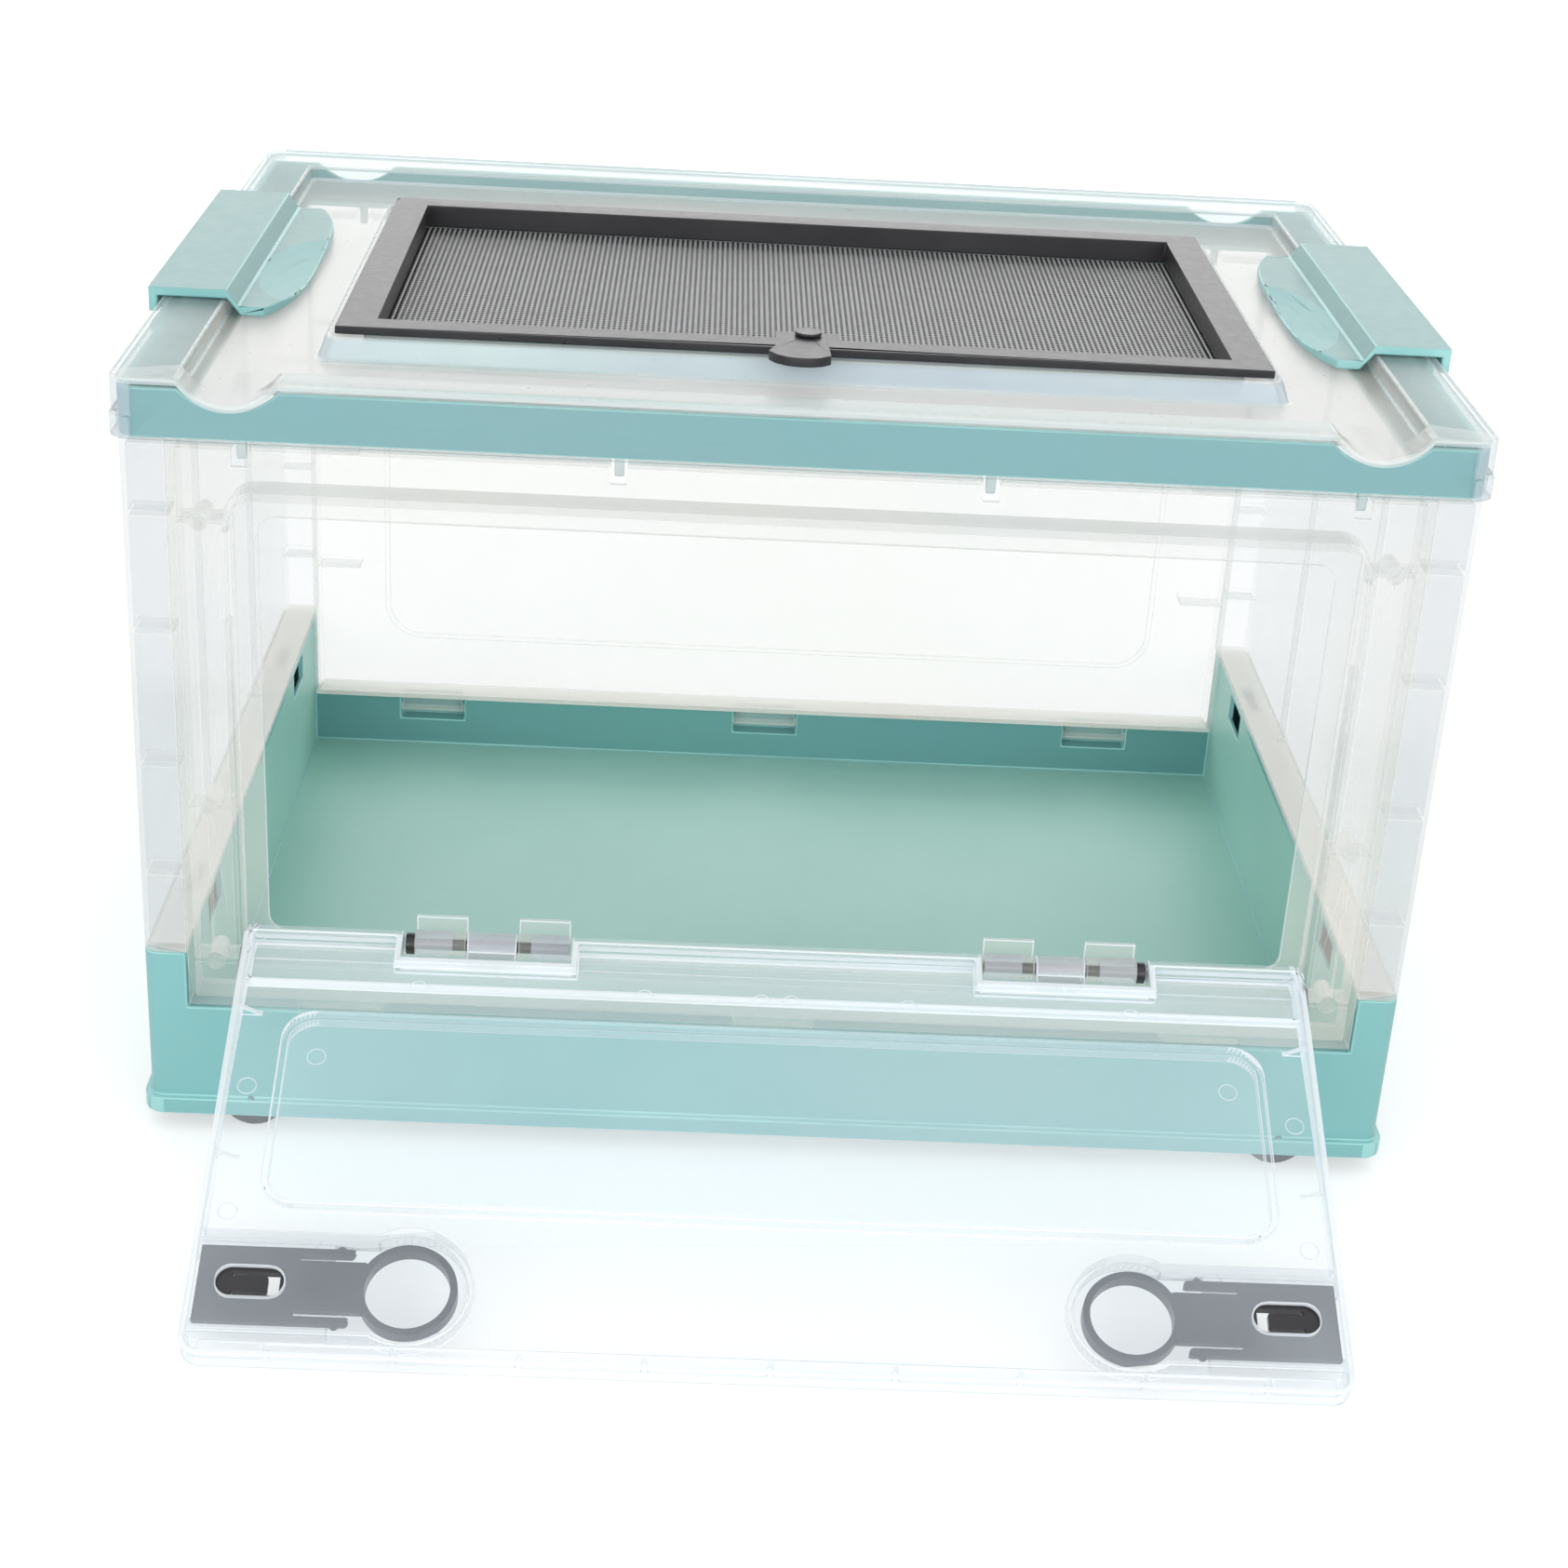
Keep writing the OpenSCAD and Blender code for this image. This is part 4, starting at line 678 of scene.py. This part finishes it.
# Gives each face of the lid its finish
def finishLid(bm, low, high):
    stepTop = low.z + lid["stepHeight"] + 2 * lid["step"]
    fieldTop = high.z - lid["fieldDrop"] + lid["step"]
    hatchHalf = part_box("hatch_frame")[1][0] + lid["coamingFoot"]
    for face in bm.faces:
        at = face.calc_center_median()
        plain = face.material_index == lidSlots.index("lid")
        edge = face.material_index == lidSlots.index("lidEdgeHighlight")
        upright = abs(face.normal.z) < lid["leaning"]
        atCorner = min(abs(face.normal.x), abs(face.normal.y)) > lid["steep"]
        atRear = at.y > high.y - lid["rearBorder"] - lid["wall"]
        atHatch = abs(at.x) < hatchHalf and at.y > low.y + lid["hatchFront"] and at.z > fieldTop
        if onSkirt(at, high) and (at.z < stepTop or plain and upright and at.z < high.z):
            finish = "corner" if atCorner else "skirt"
        elif plain and not upright and abs(at.z - high.z) < lid["level"]:
            finish = "border" if at.y < low.y + lid["frontBorder"] else "borderThin"
        elif plain and upright and atRear:
            finish = "borderThin"
        elif (plain or edge) and upright and atHatch:
            finish = "coaming"
        else:
            continue
        face.material_index = lidSlots.index(finish)


# Finger scoops in the front border: cut strips, then lower their corners to an arc
def cutScoops(bm, high):
    half = lid["scoopAcross"] / 2
    deep = lid["scoopDeep"]
    radius = (half ** 2 + deep ** 2) / (2 * deep)
    front = -high.y
    back = front + lid["frontBorder"] + lid["step"] + lid["troughLength"]

    def frontFaces():
        end = front + lid["frontReach"]
        return [face for face in bm.faces
                if min(face.calc_center_median().y, face.calc_center_bounds().y) < end]

    cutFaces(bm, frontFaces(), (0, back, 0), (0, 1, 0))
    for side in (-1, 1):
        middle = side * (high.x - lid["scoopInset"])
        for index in range(lid["scoopSlices"] + 1):
            x = middle + half * (2 * index / lid["scoopSlices"] - 1)
            cutFaces(bm, frontFaces(), (x, 0, 0), (1, 0, 0))
        for vert in bm.verts:
            across = abs(vert.co.x - middle)
            arc = high.z - deep + radius - math.sqrt(max(radius ** 2 - min(across, half) ** 2, 0))
            within = across < half - hair and vert.co.y < back - 10 * hair
            if within and vert.co.z > high.z - lid["fieldDrop"] - 10 * hair:
                if vert.co.y > front + lid["frontBorder"] + lid["step"] / 2 and arc < vert.co.z:
                    vert.co.y = front + lid["frontBorder"]
                onRim = abs(vert.co.z - high.z + lid["rim"]) < 10 * hair
                outside = vert.co.y < front + lid["outerRadius"]
                vert.co.z = min(vert.co.z, arc - lid["rim"] if onRim and outside else arc)


# The skirt is open beside each clamp
def cutForClamps(bm, low, high):
    half = lid["clampLength"] / 2
    ceiling = low.z + lid["clampCut"]

    def onSide(reach, square=0.0):
        centres = [(face, face.calc_center_median()) for face in bm.faces if abs(face.normal.x) >= square]
        return [face for face, at in centres if abs(at.x) > lid["sideShare"] * high.x and abs(at.y) < reach]

    for y in (-half, half):
        cutFaces(bm, onSide(half, lid["square"]), (0, y, 0), (0, 1, 0))
    cutFaces(bm, onSide(lid["clampNear"], lid["square"]), (0, 0, ceiling), (0, 0, 1))
    window = [face for face in onSide(lid["clampNear"]) if face.calc_center_median().z < ceiling]
    bmesh.ops.delete(bm, geom=window, context="FACES")


def thicken(piece, wall):
    modifier = piece.modifiers.new("wall", "SOLIDIFY")
    modifier.thickness = wall
    modifier.offset = -1
    # the wall's cut edges take the next finish in the list; on the plain lid that is the painted edge highlight
    modifier.material_offset_rim = 1


lidPiece = toObject(shapeLid(), "lid_shell", lidSlots, "top", ("lid",))
thicken(lidPiece, lid["wall"])
weighNormals(lidPiece)

# Hinge ears of the lid: a post with a round head on each side of both hatch knuckles
ears = {"width": 5 * mm, "across": 4.4 * mm, "segments": 24, "sink": 1 * mm, "edge": 0.4 * mm,
        "hatchKnuckle": 12 * mm}


def shapeEars():
    (_, pinFront, pinLow), (pinEnd, pinRear, pinHigh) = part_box("hatch_pins")
    axisY, axisZ = (pinFront + pinRear) / 2, (pinLow + pinHigh) / 2
    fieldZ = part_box("lid")[0][2] + lid["skirt"] - lid["fieldDrop"]
    apart = ears["hatchKnuckle"] + 2 * lid["wellGap"] + ears["width"]
    outer = pinEnd - ears["width"] / 2
    bm = bmesh.new()
    turn = Matrix.Rotation(math.pi / 2, 4, "Y")
    for x in (outer, outer - apart, -outer, -outer + apart):
        bmesh.ops.create_cone(bm, cap_ends=True, segments=ears["segments"], radius1=ears["across"] / 2,
                              radius2=ears["across"] / 2, depth=ears["width"],
                              matrix=Matrix.Translation((x, axisY, axisZ)) @ turn)
        height = axisZ - fieldZ + ears["sink"]
        post = Matrix.Diagonal((ears["width"], ears["across"], height, 1))
        bmesh.ops.create_cube(bm, size=1, matrix=Matrix.Translation((x, axisY, axisZ - height / 2)) @ post)
    sharp = [edge for edge in bm.edges if edge.calc_face_angle(0) > softening["angle"]]
    roundEdges(bm, sharp, ears["edge"], softening["segments"])
    return bm


weighNormals(toObject(shapeEars(), "lid_hinge_ears", ("border", "lidEdgeHighlight"), "top", ("lid",)))
print("lid shaped")

# The hatch's woven mesh: light grey threads run front to back over flat dark ones; their light grey is a painted
# highlight on the dark wire
weave = {"pitchAcross": 1.88 * mm, "pitchAlong": 2.55 * mm, "highlitThreadWidth": 1.12 * mm, "darkWidth": 1.7 * mm,
         "thickness": 0.16 * mm, "highlitThreadRise": 0.13 * mm, "darkDrop": 0.14 * mm, "swing": 0.07 * mm,
         "waist": 0.66, "inset": 0.3 * mm}


def weaveThreads(name, alongY, slot):
    low, high = (Vector(corner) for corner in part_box("hatch_mesh"))
    size = high - low
    run, row = (1, 0) if alongY else (0, 1)
    pitch = weave["pitchAcross"] if alongY else weave["pitchAlong"]
    half = (weave["pitchAlong"] if alongY else weave["pitchAcross"]) / 2
    width = weave["highlitThreadWidth"] if alongY else weave["darkWidth"]
    count = int((size[row] - 2 * weave["inset"]) / pitch)
    steps = int((size[run] - 2 * weave["inset"]) / half)
    length = steps * half
    thread = bmesh.new()
    bmesh.ops.create_cube(thread, size=1)
    scale = [0, 0, weave["thickness"]]
    scale[run], scale[row] = length, width
    bmesh.ops.scale(thread, vec=scale, verts=thread.verts)
    if alongY:  # a front-to-back thread, painted light as a highlight, swells between its crossings
        along = [edge for edge in thread.edges
                 if abs(edge.verts[0].co[run] - edge.verts[1].co[run]) > length / 2]
        bmesh.ops.subdivide_edges(thread, edges=along, cuts=steps - 1)
        for vert in thread.verts:
            swell = round((vert.co[run] + length / 2) / half) % 2
            vert.co.z += weave["swing"] * (1 if swell else -1)
            vert.co[row] *= 1 if swell else weave["waist"]
    shape = bpy.data.meshes.new(name + "Thread")
    thread.to_mesh(shape)
    thread.free()
    bm = bmesh.new()
    level = weave["highlitThreadRise"] if alongY else -weave["darkDrop"]
    for index in range(count):
        before = len(bm.verts)
        bm.from_mesh(shape)
        bm.verts.ensure_lookup_table()
        offset = (low + high) / 2 + Vector((0, 0, level))
        offset[row] += (index - (count - 1) / 2) * pitch
        bmesh.ops.translate(bm, vec=offset, verts=bm.verts[before:])
    bpy.data.meshes.remove(shape)
    return toObject(bm, name, (slot,), "hatch", ("hatch_mesh",))


weaveThreads("mesh_threads_highlit", True, "threadHighlightGrey")
weaveThreads("mesh_threads_dark", False, "threadDark")
print("hatch mesh woven")

# Camera
view = {"place": (-31.902 * mm, -961.783 * mm, 520.866 * mm), "yaw": 0.038, "pitch": 0.441, "roll": 0.059,
        "focal": 2935.0, "picture": 1685.0, "sensor": 36.0}
flat = math.cos(view["pitch"])
ahead = Vector((math.sin(view["yaw"]) * flat, math.cos(view["yaw"]) * flat, -math.sin(view["pitch"])))
level = Vector((math.cos(view["yaw"]), -math.sin(view["yaw"]), 0))
upright = level.cross(ahead)
right = level * math.cos(view["roll"]) + upright * math.sin(view["roll"])
up = upright * math.cos(view["roll"]) - level * math.sin(view["roll"])
camera = bpy.data.objects.new("camera", bpy.data.cameras.new("camera"))
camera.data.sensor_width = view["sensor"]
camera.data.lens = view["focal"] / view["picture"] * view["sensor"]
camera.data.clip_end = 50
camera.matrix_world = Matrix((right, up, -ahead)).transposed().to_4x4()
camera.location = view["place"]
scene.collection.objects.link(camera)
scene.camera = camera

# Floor, world and lamps
studio = {"floorSize": 12.0, "floorDrop": 0.2 * mm, "nearGlow": 0.42, "farGlow": 0.9, "near": 0.6, "far": 2.5,
          "world": 0.68, "backdrop": 1.0}


def seenByEye(tree):  # 1 for camera, glossy and transmission rays
    path = addNode(tree, "LightPath")
    seen = mathNode(tree, "MAXIMUM", path.outputs["Is Camera Ray"], path.outputs["Is Glossy Ray"])
    return mathNode(tree, "MAXIMUM", seen, path.outputs["Is Transmission Ray"])


def makeFloor():
    bm = bmesh.new()
    bmesh.ops.create_grid(bm, x_segments=1, y_segments=1, size=studio["floorSize"] / 2)
    bmesh.ops.translate(bm, vec=(0, 0, -studio["floorDrop"]), verts=bm.verts)
    mesh = bpy.data.meshes.new("floor")
    bm.to_mesh(mesh)
    bm.free()
    floor = bpy.data.objects.new("floor", mesh)
    scene.collection.objects.link(floor)
    material, tree = openMaterial("paleFloor")
    matt = addNode(tree, "BsdfDiffuse", {"Color": colour("floor")})
    place = addNode(tree, "TexCoord")
    away = addNode(tree, "VectorMath", {0: place.outputs["Object"]}, operation="LENGTH")
    rise = addNode(tree, "MapRange", {"Value": away.outputs["Value"], "From Min": studio["near"],
                                      "From Max": studio["far"], "To Min": studio["nearGlow"],
                                      "To Max": studio["farGlow"]})
    strength = mathNode(tree, "MULTIPLY", seenByEye(tree), rise.outputs["Result"])
    glow = addNode(tree, "Emission", {"Strength": strength})
    both = addNode(tree, "AddShader", {0: matt.outputs[0], 1: glow.outputs[0]})
    addNode(tree, "OutputMaterial", {"Surface": both.outputs[0]})
    mesh.materials.append(material)


def makeWorld():
    world = bpy.data.worlds.new("studioWorld")
    scene.world = world
    world.use_nodes = True
    tree = world.node_tree
    tree.nodes.clear()
    plain = addNode(tree, "Background", {"Color": (1, 1, 1, 1), "Strength": studio["world"]})
    white = addNode(tree, "Background", {"Color": (1, 1, 1, 1), "Strength": studio["backdrop"]})
    both = addNode(tree, "MixShader", {0: seenByEye(tree), 1: plain.outputs[0], 2: white.outputs[0]})
    addNode(tree, "OutputWorld", {"Surface": both.outputs[0]})


def addLamp(name, place, aim, size, power):
    light = bpy.data.lights.new(name, "AREA")
    light.shape = "RECTANGLE"
    light.size, light.size_y = size
    light.energy = power
    lamp = bpy.data.objects.new(name, light)
    lamp.location = place
    lamp.rotation_euler = (Vector(aim) - Vector(place)).to_track_quat("-Z", "Y").to_euler()
    lamp.visible_camera = False
    scene.collection.objects.link(lamp)


makeFloor()
makeWorld()
addLamp("leftLamp", place=(-1.0, -2.1, 0.8), aim=(0, 0, 0.12), size=(1.6, 1.0), power=17)
addLamp("rightLamp", place=(1.1, -2.0, 0.75), aim=(0, 0, 0.12), size=(1.4, 1.0), power=13)
addLamp("rearSoftbox", place=(0, 1.75, 0.9), aim=(0, 0, 0.25), size=(2.8, 0.9), power=11)
scene.view_settings.view_transform = "Standard"
scene.cycles.transparent_max_bounces = 48
print("stage set")
